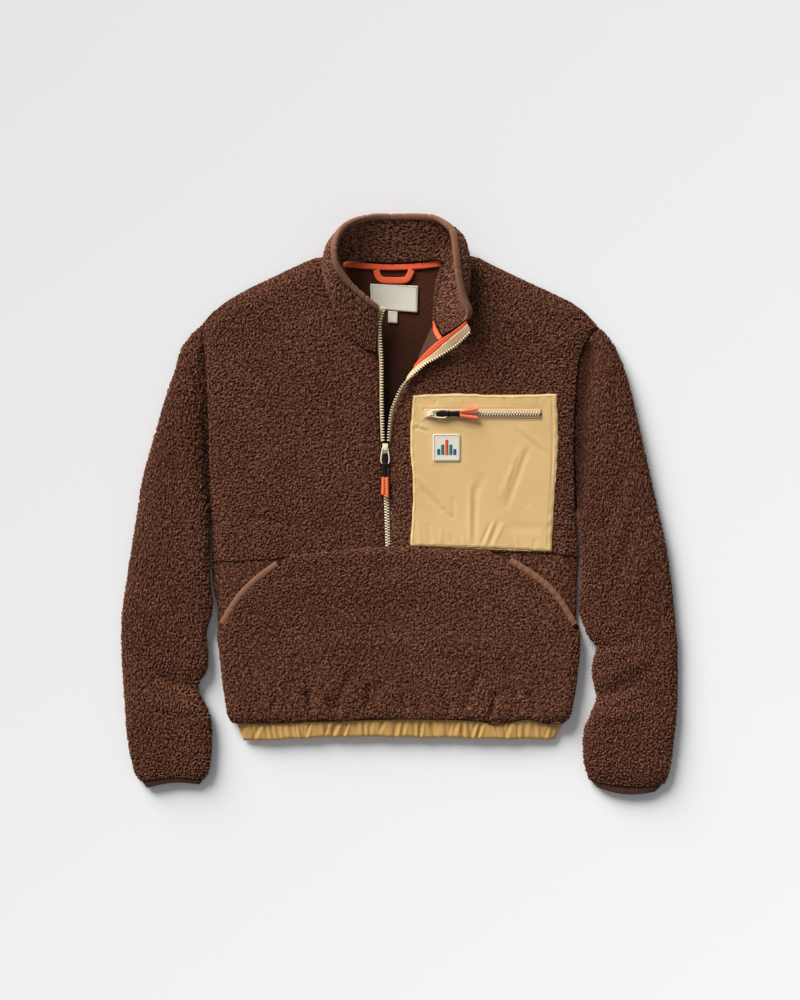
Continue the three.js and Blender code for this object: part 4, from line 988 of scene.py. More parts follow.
# %% Collar binding
BINDING_STATIONS = 520
BINDING_RISE, BINDING_SINK = 8.2, 0.8
PUCKER_COUNT, PUCKER_WIDTH = 26, 0.0028
turns = np.linspace(0, np.pi, 15)
stations = np.linspace(0, 1, BINDING_STATIONS)
on_rim = np.full(BINDING_STATIONS, RIM_SHARE)
rim, across = collar_point(stations, on_rim), collar_normal(stations, on_rim)
upwards = collar_point(stations, on_rim + 0.01) - rim
upwards = unit(upwards - across * np.einsum("ij,ij->i", upwards, across)[:, None])
generator = np.random.default_rng(SEED)
pucker = np.zeros(BINDING_STATIONS)
for place in np.sort(generator.uniform(0, 1, PUCKER_COUNT)):
    pucker -= generator.uniform(0.4, 1.1) * np.exp(-((stations - place) / PUCKER_WIDTH) ** 2)
half = COLLAR_WALL / 2 + 1.2
c, s = np.cos(turns)[:, None], np.sin(turns)[:, None]
rise = -BINDING_SINK + BINDING_RISE * s ** 0.7 + pucker * s
spread = -(half + 0.5 * pucker) * np.sign(c) * np.abs(c) ** 0.6
ring = rim + upwards * rise[..., None] + across * spread[..., None]
collar_binding = lay("collar_binding_cloth", binding, ring, node="collar_binding", slot="binding")
as_sheet(middle_surface[:RIM_ROWS])

# %% [markdown]
# ## Open zip, tapes and bindings
#
# The left front is turned back along the open zip. Each strip follows the same two lines: the teeth
# and the fold, and is placed by its distance in from the teeth and its height over that surface.

# %% Edge strips
OPEN_EDGE_RIGHT = [
    (-24.3, 88, 15, -25, 88, 7.2), (-25.2, 112, 15.5, -26, 112, 7.2), (-26, 150, 16, -26.8, 150, 7.4),
    (-26.2, 198, 16.5, -27.2, 198, 7.8), (-27, 216, 19, -30.5, 217, 11), (-28.5, 238, 23, -31.5, 239, 15),
    (-28, 256, 27, -30.5, 258, 19), (-21, 275, 31, -25, 276, 23),
]
# At its foot the left edge's teeth point into the gap, further up it is turned outwards
OPEN_EDGE_LEFT = [
    (-14.5, 88, 15.5, -12.9, 88, 14.1), (-13, 110, 16.4, -11.4, 109.8, 14.8),
    (-9.5, 133, 17.6, -7.9, 132.4, 15.8), (-0.5, 156, 19.2, 0.8, 155.2, 16.6),
    (6.5, 168.6, 20.6, 7.4, 167.8, 16.4), (14, 177.5, 21.6, 11.4, 179.6, 15.2),
    (25.5, 188.2, 22.4, 21, 191.2, 18.6), (37.2, 197.7, 23.4, 33.9, 201.6, 21.6),
    (50, 204.7, 24.6, 46, 210.4, 24.2), (68.6, 216.2, 27, 62.5, 225, 28),
    (80.3, 224.3, 31.5, 74.3, 234.4, 34), (98.5, 241.5, 42, 93.5, 250, 43.5),
]
EDGE_CORAL = [
    (21, 191.2, 18.8, 19.3, 193, 18.4), (33.9, 201.6, 21.6, 28.6, 204.2, 21.2),
    (46, 210.4, 24.2, 39.5, 215.5, 24), (55, 218.5, 26.3, 49.5, 224.5, 26.5),
    (62.5, 225, 28, 58.8, 231, 28.5), (74.3, 234.4, 34, 71.5, 238.6, 34.8),
    (85, 243, 39.4, 83, 246.8, 40.2), (93.5, 250, 43.5, 91.9, 253.4, 44.5),
]
EDGE_FACING = [
    (23, 194, 18.2, 18.6, 189.6, 15.4), (31, 204, 20.6, 22.4, 197, 14.6),
    (40, 213, 22.9, 28, 212.5, 14.4), (47, 221, 25, 35, 228, 14.4), (53, 228.2, 26.4, 43.6, 247, 15),
]
ZIP_TAPE_WIDTH = 8.4
CORAL_GAP = 0.2
ON_EDGE = (0, TAPE_WALL)
MIDDLED = (-TAPE_WALL / 2, TAPE_WALL / 2)
TURNED_EDGE = (-3.5, -1.1)


def first_line(rows):
    return [row[:3] for row in rows]


def edge_frame(rows, t):
    """The first line, the unit way in towards the second, the unit way up, and their distance. The
    way up is the cross product of the way in and the way along, kept on one side by its sign."""
    teeth = spline(first_line(rows), t)
    inward = spline([row[3:] for row in rows], t) - teeth
    reach = np.linalg.norm(inward, axis=1)
    inward = unit(inward)
    over = unit(np.cross(inward, heading(spline, first_line(rows), t)))
    turns = np.sign(np.einsum("ij,ij->i", over[1:], over[:-1]))
    turns = np.cumprod(np.concatenate([[np.sign(over[0, 2])], turns]))
    return teeth, inward, over * turns[:, None], reach


def edge_strip(name, node, finish, slot, rows, span, heights, columns=6, wave=0.0):
    """A flat ring of points across the strip, from span's start to its end and back underneath."""
    t = np.linspace(0, 1, 16 * len(rows))
    teeth, inward, over, reach = edge_frame(rows, t)
    share = np.linspace(0, 1, columns)
    ends = np.minimum(span[1], reach)
    places = mix(span[0], ends[None, :], share[:, None])
    ripple = wave * np.sin(t * 170 + 3 * np.sin(t * 23))[None, :] * np.sin(share * np.pi)[:, None]
    low, high = heights
    face = teeth + inward * places[..., None] + over * (high + ripple)[..., None]
    back_face = teeth + inward * places[::-1][..., None] + over * low
    lay(name, finish, np.concatenate([face, back_face]), node=node, slot=slot)


# The turned edge is in the darker binding copy: painted shade
edge_strip("turned_edge_cloth", "front_edge_left", binding_painted_shade, "binding", EDGE_FACING, (0, math.inf),
           TURNED_EDGE, 12, 0.3)
edge_strip("zip_tape_left_cloth", "zip_tape_left", beige, "tape", OPEN_EDGE_LEFT, (0, math.inf), MIDDLED)
edge_strip("zip_edge_coral", "zip_edge_binding_left", coral, "coral", EDGE_CORAL, (CORAL_GAP, math.inf),
           MIDDLED, wave=0.2)
edge_strip("zip_tape_right_cloth", "zip_tape_right", beige, "tape", OPEN_EDGE_RIGHT, (0, ZIP_TAPE_WIDTH),
           ON_EDGE)
print("teeth line", round(length_of(first_line(OPEN_EDGE_LEFT))), "mm")

# %% [markdown]
# ## Zip teeth
#
# A moulded tooth is wide at its root and narrow at its tip. One is shaped once, with a dozen faces,
# and laid along the zip at a fixed pitch.

# %% Teeth
TOOTH_PITCH, TOOTH_OUT = 3.85, 1.3
TOOTH = np.array([
    (-1.4, -1.9, -1.0), (1.4, -1.9, -1.0), (0.65, 2.1, -1.0), (-0.65, 2.1, -1.0),
    (-1.2, -1.7, 1.0), (1.2, -1.7, 1.0), (0.45, 1.9, 1.3), (-0.45, 1.9, 1.3),
])
# Both a tooth and a stitch are blocks with eight corners
BLOCK_FACES = [(0, 3, 2, 1), (4, 5, 6, 7), (0, 1, 5, 4), (1, 2, 6, 5), (2, 3, 7, 6), (3, 0, 4, 7)]


def repeat(name, finish, shape, places, axes):
    """One joined mesh of many copies: place + a·first + b·second + c·third axis for each corner."""
    points = places[:, None] + np.einsum("pk,nkj->npj", shape, axes)
    count = len(shape)
    faces = [tuple(count * n + k for k in face) for n in range(len(places)) for face in BLOCK_FACES]
    return finish_piece(name, finish, points.reshape(-1, 3), faces, GARMENT, {})


def teeth_on_edge(name, rows):
    """Teeth along the first line of a table, pointing away from its second line."""
    steps = np.linspace(0, 1, 400)
    reached = travelled(spline(first_line(rows), steps))
    t = np.interp(np.arange(2, reached[-1] - 2, TOOTH_PITCH), reached, steps)
    teeth, inward, over, _ = edge_frame(rows, t)
    axes = np.stack([np.cross(over, inward), -inward, over], 1)
    repeat(name, tooth_cream, TOOTH, teeth - inward * TOOTH_OUT, axes)


# The right edge stands on its fold, and its teeth lie level and point into the gap
RIGHT_TEETH = [(x + 0.6, y, z, x - 3, y - 0.4, z - 0.8) for x, y, z, *_ in OPEN_EDGE_RIGHT]
teeth_on_edge("teeth_left", OPEN_EDGE_LEFT)
teeth_on_edge("teeth_right", RIGHT_TEETH)

# %% Closed zip
CLOSED_TOP, CLOSED_BOTTOM, CLOSED_WIDTH, CLOSED_Z = (-20, 72), (-16, -57.5), 10.8, 9.4


def slab(name, node, finish, slot, xy, top, low):
    """A thin closed piece: its face at the height top, and back underneath at the height low."""
    back_face = np.dstack([xy[::-1], np.full(top.shape, low)])
    face = np.dstack([xy, top])
    return lay(name, finish, np.concatenate([face, back_face]), node=node, slot=slot)


def flat_strip(name, node, finish, slot, start, end, width, low, high, rows=60, crown=0.3):
    """A straight tape, slightly crowned across."""
    start, end = np.array(start, float), np.array(end, float)
    share, down = np.linspace(-1, 1, 8), np.linspace(0, 1, rows)
    line = start + (end - start) * down[:, None]
    xy = line[None] + left_of(unit(end - start)) * (share * width / 2)[:, None, None]
    return slab(name, node, finish, slot, xy, high - crown * (share ** 2)[:, None] + 0 * down, low)


# The closed zip's tape is in the darker tape copy: painted shade between the two fronts
flat_strip("zip_tape_closed_cloth", "zip_tape_closed", tape_painted_shade, "tape", CLOSED_TOP, CLOSED_BOTTOM,
           CLOSED_WIDTH, CLOSED_Z - 1.6, CLOSED_Z)


def closed_teeth(name, start, end, z, pitch, scale):
    """Two rows of teeth that mesh: every second one comes from the other side."""
    start, end = np.array([*start, z], float), np.array([*end, z], float)
    reach = np.linalg.norm(end - start)
    count = int(reach / pitch * 2)
    way = (end - start) / reach
    side = np.append(left_of(way), 0)
    hand = np.where(np.arange(count) % 2, 1.0, -1.0)
    step = (np.arange(count) + 0.5)[:, None] * reach / count
    places = start + way * step + side * hand[:, None] * TOOTH_OUT * scale
    axes = np.stack([np.tile(way * 0.9, (count, 1)) * hand[:, None], side * -hand[:, None],
                     np.tile([0, 0, 1.0], (count, 1))], 1)
    return repeat(name, tooth_cream, TOOTH * scale, places, axes)


closed_teeth("teeth_closed", CLOSED_TOP, CLOSED_BOTTOM, CLOSED_Z + 1.3, TOOTH_PITCH, 1.1)

# %% [markdown]
# ## Stitches
#
# A seam's stitch is a short fat thread with pointed ends, pulled a little into the cloth. Many are
# laid along a line of points, each turned to the line's own direction.

# %% Stitches
STITCH = np.array([
    (-0.5, -0.15, -0.3), (0.5, -0.15, -0.3), (0.5, 0.15, -0.3), (-0.5, 0.15, -0.3),
    (-0.28, -0.15, 0.3), (0.28, -0.15, 0.3), (0.28, 0.15, 0.3), (-0.28, 0.15, 0.3),
])


def stitches(name, finish, line, pitch, long, wide, thick):
    """One stitch for each pitch of the line's length, found by its summed chords."""
    line = np.asarray(line, float)
    length = travelled(line)
    at = np.arange(pitch / 2, length[-1], pitch)
    pick = lambda s: np.stack([np.interp(s, length, line[:, k]) for k in range(3)], 1)
    way = unit(pick(at + 0.5) - pick(at - 0.5))
    side = unit(np.column_stack([left_of(way), 0 * at]))
    axes = np.stack([way, side, np.cross(way, side)], 1)
    repeat(name, finish, STITCH * (long, wide / 0.3, thick), pick(at), axes)


# %% [markdown]
# ## Chest pocket
#
# Thin nylon, sewn on all round, so its edges pucker a little and soft diagonal creases cross it.
# A window in it holds the zip.

# %% Chest pocket
ZIP_MIDDLE = (116, 127)
POCKET_ZIP = ((34, ZIP_MIDDLE[1]), (198, ZIP_MIDDLE[1]), 14)
CHEST_SIZE = (200, 215)
BADGE_SIZE = 38
POCKET_BASE = FRONT_TOP + SEAM_GAP
ON_POCKET = POCKET_BASE + NYLON_WALL + 0.3
CREASES = [
    (19, 109, 40, 102, 3.2, -1.1), (21, 113.5, 41, 107, 4, 0.9), (33, 120, 22, 104, 3, -0.7),
    (33, 134, 24, 146, 3.4, -0.6), (48, 135, 52, 149, 3.0, -0.7), (40, 116, 52, 106, 3, -0.5),
    (82, 137, 88, 151, 4, 0.4), (150, 136, 146, 151, 4, -0.4), (187, 136, 190, 151, 3.5, 0.4),
    (14, 38, 62, -10, 8, -1.5), (24, 42, 74, -16, 7, 1.5), (60, -4, 74, -20, 5, -1.0),
    (74, 12, 76, -18, 5, -0.8), (180, 82, 148, -6, 7, -1.3), (172, 82, 140, 10, 8, 1.1),
    (168, 74, 152, 26, 4, -0.9), (160, 106, 204, 68, 5, -0.9), (166, 110, 208, 76, 6, 0.9),
    (74, 112, 112, 104, 6, -0.5), (110, 110, 160, 60, 12, 0.8), (98, 30, 98, -54, 6, 1.2),
    (106, 28, 104, -56, 7, -1.3), (118, 44, 104, 10, 10, -0.8), (132, -22, 118, -58, 4, 1.1),
    (127, -24, 112, -58, 4, -1.1), (146, -24, 130, -58, 4, 1.0), (139, -20, 124, -58, 4, -1.0),
    (178, -2, 206, -30, 10, 0.9), (150, -30, 196, -34, 11, -0.9), (208, -16, 214, -24, 3, 0.8),
    (207, -24, 214, -33, 3, -0.8), (206, -34, 213, -43, 3, 0.8), (26, -20, 30, -56, 5, 0.7),
    (40, -24, 44, -56, 5, -0.7), (58, -30, 58, -57, 4, 0.7), (70, -40, 76, -58, 4, -0.8),
    (88, -44, 90, -59, 3.5, 0.8), (160, -40, 166, -60, 4, 0.7), (190, -46, 186, -62, 4, -0.7),
    (213, 144, 212, -50, 2.6, -0.9), (18, 60, 30, 20, 6, 0.7), (22, 140, 22, 118, 5, 0.6),
]


def nylon_height(x, y):
    """Away from the zip and badge: fine creases and a slow swell, √-tapered and limited below."""
    from_zip = np.maximum(np.abs(y - ZIP_MIDDLE[1]) - 9, np.abs(x - ZIP_MIDDLE[0]) - 84)
    from_badge = np.maximum(np.abs(y - BADGE_CENTRE[1]), np.abs(x - BADGE_CENTRE[0])) - 20
    calm = ease(0, 7, from_zip) * ease(0, 6, from_badge)
    swell = 0.3 * np.sin((x * 0.8 + y * 0.55) / 17 + 1.6 * np.sin(x / 37 - y / 52))
    height = 0.62 * relief(CREASES, x, y, 1.0) + swell
    return POCKET_BASE + NYLON_WALL + np.maximum(-1.1, height) * calm


u, v = counts(*CHEST_SIZE, 1.7)
chest_xy = coons(*(CHEST_POCKET[side] for side in ("bottom", "top", "right", "left")), u, v)
rim_gap = np.minimum(np.minimum(u, 1 - u)[:, None] * CHEST_SIZE[0],
                     np.minimum(v, 1 - v)[None] * CHEST_SIZE[1])
for moved, read, size, short, long in ((1, 0, 0.35, 5.2, 17), (0, 1, 0.3, 6.1, 19)):
    place = chest_xy[..., read]
    chest_xy[..., moved] += size * np.sin(place / short + np.sin(place / long)) * fall(rim_gap, 5, 1)
base = np.dstack([chest_xy, nylon_height(chest_xy[..., 0], chest_xy[..., 1])])
base[..., 2] -= fall(rim_gap, 2.6, 1.1)
ripple = np.sin(base[..., 1] / 3.1 + np.sin(base[..., 0] / 9)) * np.sin(base[..., 0] / 3.4)
base[..., 2] += 0.35 * ripple * (1 - ease(0, 10, rim_gap))
bottom_face = underside(base, lambda x, y: np.full(x.shape, POCKET_BASE), 10)
chest_pocket = lay("chest_pocket_nylon", nylon, np.concatenate([base, bottom_face]), node="chest_pocket",
                   slot="nylon")

# %% The pocket's zip and seams
zip_pieces = [
    flat_strip("pocket_zip_tape", "chest_pocket_zip_tape", beige, "tape", *POCKET_ZIP, POCKET_BASE + 0.5,
               ON_POCKET + 0.3),
    # A dark strip under the pocket zip's teeth, over its beige tape: painted shade
    flat_strip("pocket_zip_shade_strip", None, tape_painted_shade, "tape", (48, ZIP_MIDDLE[1]), POCKET_ZIP[1], 4.6,
               ON_POCKET, ON_POCKET + 0.6, rows=40),
    closed_teeth("pocket_teeth", (50, ZIP_MIDDLE[1]), (196, ZIP_MIDDLE[1]), ON_POCKET + 1.35, 3.7, 0.9)]
for k, line in enumerate((base[3:-3, 2], base[3:-3, -3], base[2, 3:-3], base[-3, 3:-3], base[-6, 4:-4])):
    stitches(f"pocket_stitches_{k}", gold_thread, line + (0, 0, 0.15), 3.1, 2.0, 0.6, 0.5)
for k, y in enumerate((118.6, 135.4)):
    line = [(31, y, ON_POCKET), (200, y, ON_POCKET)]
    stitches(f"window_stitches_{k}", gold_thread, line, 2.8, 1.9, 0.6, 0.5)
as_sheet(base)

# %% [markdown]
# ## Hem band
#
# A nylon tube gathered on elastic. Its ruffles are valleys at uneven steps across the band, deepest
# at the seam with the pile.

# %% Hem band
HEM_HALF, HEM_HEIGHT, HEM_SLIT = 228, 12.4, 3.2
HEM_DEPTH, HEM_TAPER = 24, 0.045
generator = np.random.default_rng(SEED + 3)
steps_x = np.cumsum(generator.uniform(5.0, 13.0, 80)) - 250
gathers = [(x, generator.uniform(1.5, 3.4), generator.uniform(0.9, 2.6), generator.uniform(-9, 9),
            generator.uniform(-0.5, 1.3)) for x in steps_x[steps_x < 245]]


def hem_waves(x, share):
    """Sum of narrow valleys, each -depth · e^(-(gap / width)²), leaning and fading on their way."""
    height = np.full(np.broadcast(x, share).shape, 1.1)
    for place, width, depth, lean, fade in gathers:
        gap = x - place - lean * share
        height -= depth * np.clip(1.2 - fade * share, 0.15, 1.2) * np.exp(-(gap / width) ** 2)
        height += 0.4 * depth * np.exp(-((gap - 2.2 * width) / width) ** 2)
    return height


def hem_ring(x, over, share, inward, low, high, strength):
    """A row of the band at a share of its depth: its ends lean in towards the lower edge."""
    narrowed = 1 - HEM_TAPER * share
    x = x * narrowed
    seam_y = np.interp(x, *zip(*HEM_SEAM)) - SEAM_GAP
    edge_y = np.interp(x, *zip(*HEM_EDGE)) + 0.7 * np.sin(x / 9 + np.sin(x / 23))
    y = mix(seam_y, edge_y, share)
    edge = np.sqrt(1 - np.minimum(1, np.abs(x) / ((HEM_HALF - inward) * narrowed)) ** 10)
    z = (low + high) / 2 + over * edge * (high - low) / 2
    puff = 1 - (2 * share - 1) ** 2
    wave = hem_waves(x, share) * strength * (0.5 + 0.5 * puff) * (over > 0) * edge
    drop = fall(np.minimum(share * HEM_DEPTH + 3.4, (1 - share) * HEM_DEPTH), 4, 3.2) * (over > 0)
    return np.stack([x, y, z + wave - drop], -1)


def hem_columns(inward, top=460, bottom=60):
    """Places across the band, over its face and back underneath, and which of the two each is on."""
    face = np.linspace(HEM_HALF - inward, -HEM_HALF + inward, top)
    back_columns = np.linspace(-HEM_HALF + inward, HEM_HALF - inward, bottom)[1:-1]
    x = np.concatenate([face, back_columns])
    over = np.concatenate([np.ones(top), -np.ones(bottom - 2)])
    over[[0, top - 1]] = 0
    return x[:, None], over[:, None]


x, over = hem_columns(0)
outer = hem_ring(x, over, np.linspace(0, 1, 22)[None], 0, 0, HEM_HEIGHT, 1.0)
x, over = hem_columns(3)
inner = hem_ring(x, over, np.linspace(1, 0, 4)[None], 3, (HEM_HEIGHT - HEM_SLIT) / 2,
                 (HEM_HEIGHT + HEM_SLIT) / 2, 0.0)
# The band is in the darker nylon copy: painted shade
hem = lay("hem_nylon", hem_gold_painted_shade, np.concatenate([outer, inner], 1), loop=True, node="hem_band",
          slot="nylon")
as_sheet(np.concatenate([outer, outer[:1]]))

# %% [markdown]
# ## Bindings of the cuffs and pocket mouths
#
# The same smooth stretch binding as on the collar: a narrow turned tube at each cuff, in a darker
# copy that is painted shade, and a rolled strip along each slanted pocket mouth.

# %% Cuffs and mouths
def cuff(name, node, rows):
    turns = np.linspace(0, math.tau, 121)[:-1]
    even = np.linspace(0, 1, 14)
    base = tube_rings(rows, turns, even, 0, lambda h: 0 * h, lambda h: h)
    over = (np.sin(turns) > 0)[:, None]
    crown = 0.7 * np.sin(even * np.pi)[None] * over
    pucker = 0.45 * np.sin(turns * 61 + np.sin(turns * 7) * 3)[:, None] * over
    base[..., 2] += crown + pucker
    inside = tube_rings(rows, turns, even[::-4], 4, lambda h: (h - 3) / 2, lambda h: (h + 3) / 2)
    # The cuff binding is the darker copy: painted shade
    lay(name, binding_painted_shade, np.concatenate([base, inside], 1), loop=True, node=node, slot="binding")


cuff("cuff_right_cloth", "cuff_binding_right", CUFF_RIGHT)
cuff("cuff_left_cloth", "cuff_binding_left", CUFF_LEFT)


# The sewn groove of a pocket mouth's binding lies this share of its width in
GROOVE_SHARE = 0.78


def mouth(name, node, rows, side):
    """A rolled strip along the mouth's line, with a sewn groove near its inner side."""
    t = np.linspace(0.03, 1.0, 110)
    out = side * left_of(heading(along, rows, t))
    turns = np.linspace(0, np.pi, 18)
    width = MOUTH_BINDING_WIDTH + 3.6
    places = width / 2 * (1 - np.cos(turns)) - 1.0
    ripple = 0.25 * np.sin(t * 75 + np.sin(t * 21))
    from_groove = places - GROOVE_SHARE * width
    groove = 0.9 * np.exp(-(from_groove / 0.7) ** 2)
    rise = (5.2 + ripple) * np.sin(turns)[:, None] ** 0.4 - groove[:, None]
    xy = along(rows, t)[None] + out[None] * places[:, None, None]
    z = FACING_TOP + SEAM_GAP + rise
    lay(name, binding, np.dstack([xy, z]), node=node, slot="binding")
    row = int(np.argmin(np.abs(from_groove)))
    line = np.column_stack([xy[row], z[row] + 0.15])
    stitches(name + "_stitches", brown_thread, line, 2.8, 1.9, 0.6, 0.5)


mouth("mouth_right_cloth", "hand_pocket_binding_right", MOUTH_RIGHT, -1)
mouth("mouth_left_cloth", "hand_pocket_binding_left", MOUTH_LEFT, 1)

# %% [markdown]
# ## Labels, badge, neck tape and hanger loop
#
# Woven labels lie on the inside of the back neck, edged with a line of small stitches. They carry
# no words. The badge is a plain ivory square with a stitched border and a small motif of bars.

# %% Flat trim
ON_BACK = BACK_TOP + 0.3
NECK_LABEL = [(-41, 309), (26, 306), (25, 269), (-40, 274)]
SIZE_TAB = [(-16, 271), (-2.5, 270), (-3, 254), (-16, 254.5)]
NECK_TAPE = [(-78, 336.5, 0), (-45, 333.5, 0), (-10, 332, 0), (25, 333.5, 0), (57.5, 337, 0)]
NECK_TAPE_LEFT = [(47.4, 256, 13.4), (49.3, 245, 16.4), (52.4, 237.4, 20.4), (56.6, 230.6, 25)]
HANGER_ROUTE = [(-32.5, 328.3, 0), (-30, 320, 0), (-24, 314.5, 0), (-8, 313.5, 0), (8, 314.5, 0),
                (13.5, 320, 0), (17, 328.3, 0)]


def card_piece(name, node, corners, base, thickness, wave=0.3, count=24):
    """A four-cornered flat piece: corners blended both ways, its face slightly waved."""
    a, b, c, d = (np.array(corner, float) for corner in corners)
    s = np.linspace(0, 1, count)
    across, down = s[:, None, None], s[None, :, None]
    xy = mix(mix(a, b, across), mix(d, c, across), down)
    z = base + thickness + wave * np.sin(s * 5)[:, None] * np.sin(s * 4 + 1)[None]
    slab(name, node, ivory, "label", xy, z, base)


def ribbon(name, node, rows, width, base, thickness, count=60, narrow=1.0):
    """A flat strip along a route, its width easing from narrow times width at the start."""
    t = np.linspace(0, 1, count)
    here = along(rows, t)
    way = unit((along(rows, t + 1e-3) - along(rows, t - 1e-3))[:, :2])
    side = np.column_stack([left_of(way), 0 * t])
    share = np.linspace(-1, 1, 7)
    lift = base + thickness - 0.25 * share ** 2
    spread = width / 2 * mix(narrow, 1.0, ease(0, 0.5, t))[:, None]
    face = here + side * share[:, None, None] * spread + lift[:, None, None] * np.array([0, 0, 1])
    back_face = here + side * share[::-1][:, None, None] * spread + base * np.array([0, 0, 1])
    lay(name, coral, np.concatenate([face, back_face]), node=node, slot="coral")


card_piece("neck_label_cloth", "neck_label", NECK_LABEL, ON_BACK, 1.0)
card_piece("size_tab_cloth", "size_tab", SIZE_TAB, ON_BACK, 0.8, 0.1, 10)
ribbon("neck_tape_cloth", "neck_tape_back", NECK_TAPE, 8, ON_BACK, 1.8)
ribbon("neck_tape_left_cloth", "neck_tape_left", NECK_TAPE_LEFT, 6.4, 0, 1.4, 24, narrow=0.3)
tape_line = along(NECK_TAPE, np.linspace(0.02, 0.98, 120)) + (0, -2.6, ON_BACK + 1.75)
stitches("neck_tape_stitches", coral, tape_line, 2.8, 1.9, 0.6, 0.6)
ribbon("hanger_loop_cloth", "hanger_loop", HANGER_ROUTE, 9, ON_BACK + 1.3, 1.2)


def rounded_square(centre, size, corner):
    """Corner arcs of a rounded square, joined by its straight sides."""
    count = 6
    angles = np.concatenate([np.linspace(k, k + 1, count) for k in range(4)]) * math.pi / 2
    quadrant = np.repeat([(1, 1), (-1, 1), (-1, -1), (1, -1)], count, axis=0)
    inner = size / 2 - corner
    return np.array(centre) + quadrant * inner + corner * np.stack([np.cos(angles), np.sin(angles)], 1)


def border(corners, inward):
    """The outline of a four-cornered label, moved in towards its middle."""
    corners = np.array(corners, float)
    middle = corners.mean(0)
    reach = np.linalg.norm(corners - middle, axis=1, keepdims=True)
    rows = middle + (corners - middle) * (1 - inward * 1.41 / reach)
    share = np.linspace(0, 1, 30)[:-1, None]
    return np.concatenate([mix(a, b, share) for a, b in zip(rows, np.roll(rows, -1, 0))])


def edging(name, corners, inward, z, pitch, long, wide, thick):
    """A line of stitches round a label, near its edge."""
    line = border(corners, inward)
    line = np.column_stack([line, np.full(len(line), z)])
    stitches(name, gold_thread, line, pitch, long, wide, thick)


edging("neck_label_edging", NECK_LABEL, 2.2, ON_BACK + 1.15, 2.2, 1.5, 0.5, 0.5)
edging("size_tab_edging", SIZE_TAB, 1.2, ON_BACK + 0.95, 2.0, 1.3, 0.4, 0.4)

# %% Badge
outline = rounded_square(BADGE_CENTRE, BADGE_SIZE, 3)
rings = [(1.0, 0.0), (1.0, 0.9), (0.975, 1.25), (0.9, 1.1), (0.5, 1.15), (0.02, 1.2)]
badge_grid = np.stack([
    np.column_stack([np.array(BADGE_CENTRE) + (outline - BADGE_CENTRE) * scale,
                     np.full(len(outline), ON_POCKET + z)]) for scale, z in rings], 1)
lay("badge_cloth", ivory, badge_grid, node="badge", slot="label")
badge_corners = [(BADGE_CENTRE[0] + x * BADGE_SIZE / 2, BADGE_CENTRE[1] + y * BADGE_SIZE / 2)
                 for x, y in ((-1, -1), (1, -1), (1, 1), (-1, 1))]
edging("badge_edging", badge_corners, 1.9, ON_POCKET + 1.35, 2.0, 1.5, 0.6, 0.5)


BAR_WIDTH, BAR_STEP, BAR_FOOT, THREAD = 4.2, 5.6, 70, 0.62


def satin_bar(name, finish, x, top):
    """An upright bar of satin stitch: level threads side by side."""
    rows = [(x, y, ON_POCKET + 1.35) for y in (BAR_FOOT, top)]
    stitches(name, finish, along(rows, np.linspace(0, 1, 40)), THREAD, THREAD, BAR_WIDTH, 0.8)


# The motif is five upright bars: a coral one between two teal and two blue ones
for name, finish, step, top in (
        ("a", blue, -2, 78), ("b", teal, -1, 84), ("c", coral, 0, 91), ("d", teal, 1, 84), ("e", blue, 2, 78)):
    satin_bar(f"badge_bar_{name}", finish, BADGE_CENTRE[0] + BAR_STEP * step, top)

# %% [markdown]
# ## Sliders and pulls
#
# The sliders keep their CAD shapes. Each pull is a bent wire, a black grip whose cord runs round the
# wire's end, and two coral ends. They are made along +X from the slider, then turned with the zip.

# %% Pulls
PULLS = {
    "front_pull": ((-20, 79, 16.1), -math.pi / 2, (25.5, 29), 0.3),
    "pocket_pull": ((44, 127, 22.0), 0.0, (25.5, 25.5), 3.6),
}
BAIL_LENGTH, BAIL_HALF, WIRE = 21.4, 5.3, 0.95
GRIP_START, GRIP_LENGTH = BAIL_LENGTH + WIRE + 0.3, 17
END_RADIUS = 2.4
# The grip's own shape: place along it, half width and half height
GRIP_PROFILE = [
    (0, 0.6, 0.4), (0.4, 3.2, 1.5), (1.6, 4.4, 2.0), (2.6, 4.5, 2.1), (3.6, 3.5, 1.8), (9, 3.5, 1.7),
    (14, 3.9, 1.9), (16.4, 4.2, 2.0), (17, 3.2, 1.4), (17.1, 0.6, 0.4),
]
BAIL_LINE = [
    (0, -BAIL_HALF + 2.2), (0, BAIL_HALF - 2.2), (1.5, BAIL_HALF - 1.4),
    (BAIL_LENGTH * 0.6, BAIL_HALF + 0.3), (BAIL_LENGTH - 2.2, BAIL_HALF), (BAIL_LENGTH, BAIL_HALF - 2.6),
    (BAIL_LENGTH, -BAIL_HALF + 2.6), (BAIL_LENGTH - 2.2, -BAIL_HALF),
    (BAIL_LENGTH * 0.6, -BAIL_HALF - 0.3), (1.5, -BAIL_HALF + 1.4),
]


def hung(points, pull):
    """Points made along +X, turned by the pull's turn and put at its pivot."""
    (x, y, z), turn, *_ = PULLS[pull]
    c, s = math.cos(turn), math.sin(turn)
    ahead, left, up = (points[..., k] for k in range(3))
    return np.stack([x + ahead * c - left * s, y + ahead * s + left * c, z + up], -1)


def turned(name, node, pull, finish, slot, rows, sides=18):
    """A soft-edged bar: rows of place along, place across, half width, half height and height."""
    table = spline(rows, np.linspace(0, 1, 8 * len(rows)))
    angle = np.linspace(0, math.tau, sides + 1)[:-1, None]
    along_x, across, wide, tall, lift = (table[None, :, k] for k in range(5))
    ring = np.stack([along_x + 0 * angle, across + wide * np.cos(angle), lift + tall * np.sin(angle)], -1)
    lay(name, finish, hung(ring, pull), node=node, slot=slot, body=pull)


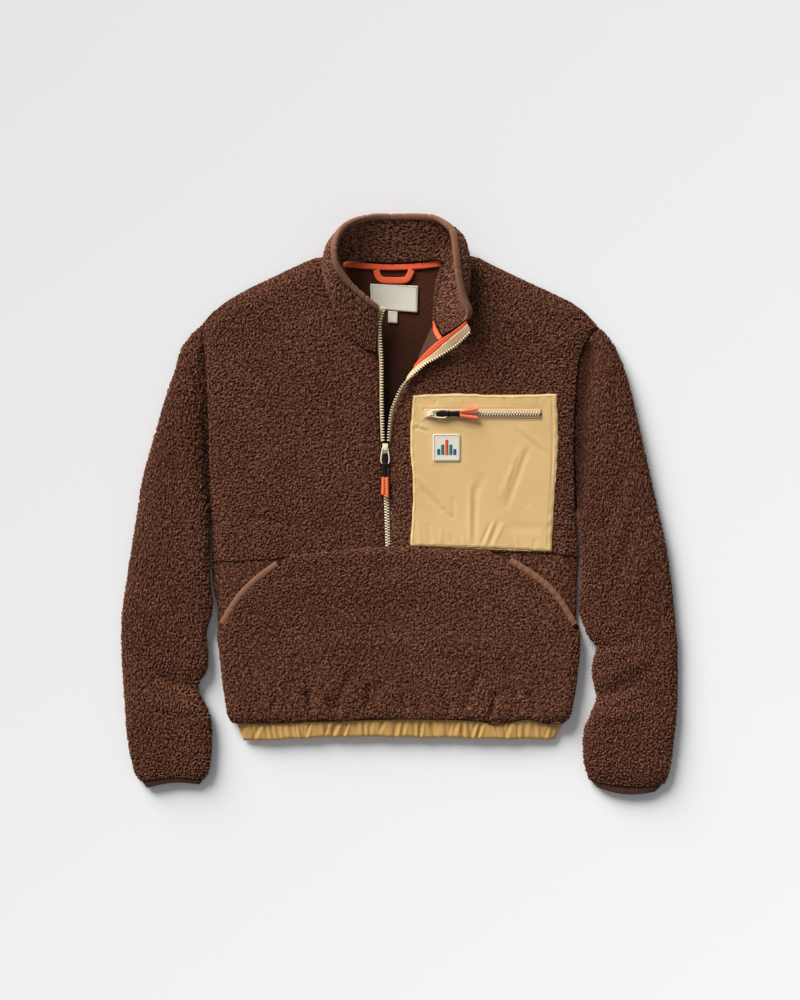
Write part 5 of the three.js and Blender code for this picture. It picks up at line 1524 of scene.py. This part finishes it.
def wire_loop(name, pull, steps=72, sides=10):
    """The bent wire: a circle carried round the closed line of the bail."""
    rows = [BAIL_LINE[-1], *BAIL_LINE, *BAIL_LINE[:2]]
    t = (1 + np.arange(steps) * len(BAIL_LINE) / steps) / (len(rows) - 1)
    here, side = spline(rows, t), left_of(heading(spline, rows, t, 1e-4))
    angle = np.linspace(0, math.tau, sides + 1)[:-1, None, None]
    xy = here[None] + side[None] * WIRE * np.cos(angle)
    z = WIRE * np.sin(angle) + 0 * xy[..., :1]
    grid = hung(np.concatenate([xy, z], -1), pull)
    lay(name, gold, grid, loop=True, node=f"{pull}_bail", slot="zip_metal", body=pull)


for pull, (_, _, lengths, splay) in PULLS.items():
    wire_loop(f"{pull}_wire", pull)
    turned(f"{pull}_cord", None, pull, grip_black, "cord_black", [
        (6.5, 0, 0.4, 0.3, 0), (7.5, 0, 2.6, 0.8, 0), (12, 0, 3.9, 1.0, 0), (17, 0, 4.5, 1.1, 0.2),
        (20.2, 0, 4.2, 1.2, 0.5), (22.6, 0, 3.5, 1.3, 1.2), (24.6, 0, 3.2, 1.4, 0.6),
        (25, 0, 0.5, 0.3, 0.4)])
    turned(f"{pull}_moulded_grip", f"{pull}_grip", pull, grip_black, "cord_black",
           [(GRIP_START + step, 0, wide, tall, 0) for step, wide, tall in GRIP_PROFILE])
    start = GRIP_START + GRIP_LENGTH + 0.3
    for side, hand, reach in (("a", -1, lengths[0]), ("b", 1, lengths[1])):
        place = lambda share: hand * (END_RADIUS + 0.2 + splay * share)
        turned(f"{pull}_coral_{side}", f"{pull}_end_{side}", pull, coral_end, "cord_coral", [
            (start, place(0), 0.4, 0.4, 0), (start + 0.4, place(0), 1.9, 1.9, 0),
            (start + 2, place(0.1), 2.3, 2.2, 0), (start + reach * 0.5, place(0.5), 2.3, 2.2, 0),
            (start + reach * 0.9, place(0.9), 2.5, 2.4, 0), (start + reach - 0.5, place(1), 1.9, 1.8, 0),
            (start + reach, place(1), 0.4, 0.4, 0)])
for node in ("front_zip_slider", "chest_pocket_slider"):
    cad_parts[node].data.materials.clear()
    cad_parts[node].data.materials.append(gold.material)

# %% [markdown]
# ## The last line
#
# It prints how many triangles the added meshes hold.

# %% Finish
print("triangles added", sum(made_triangles.values()))
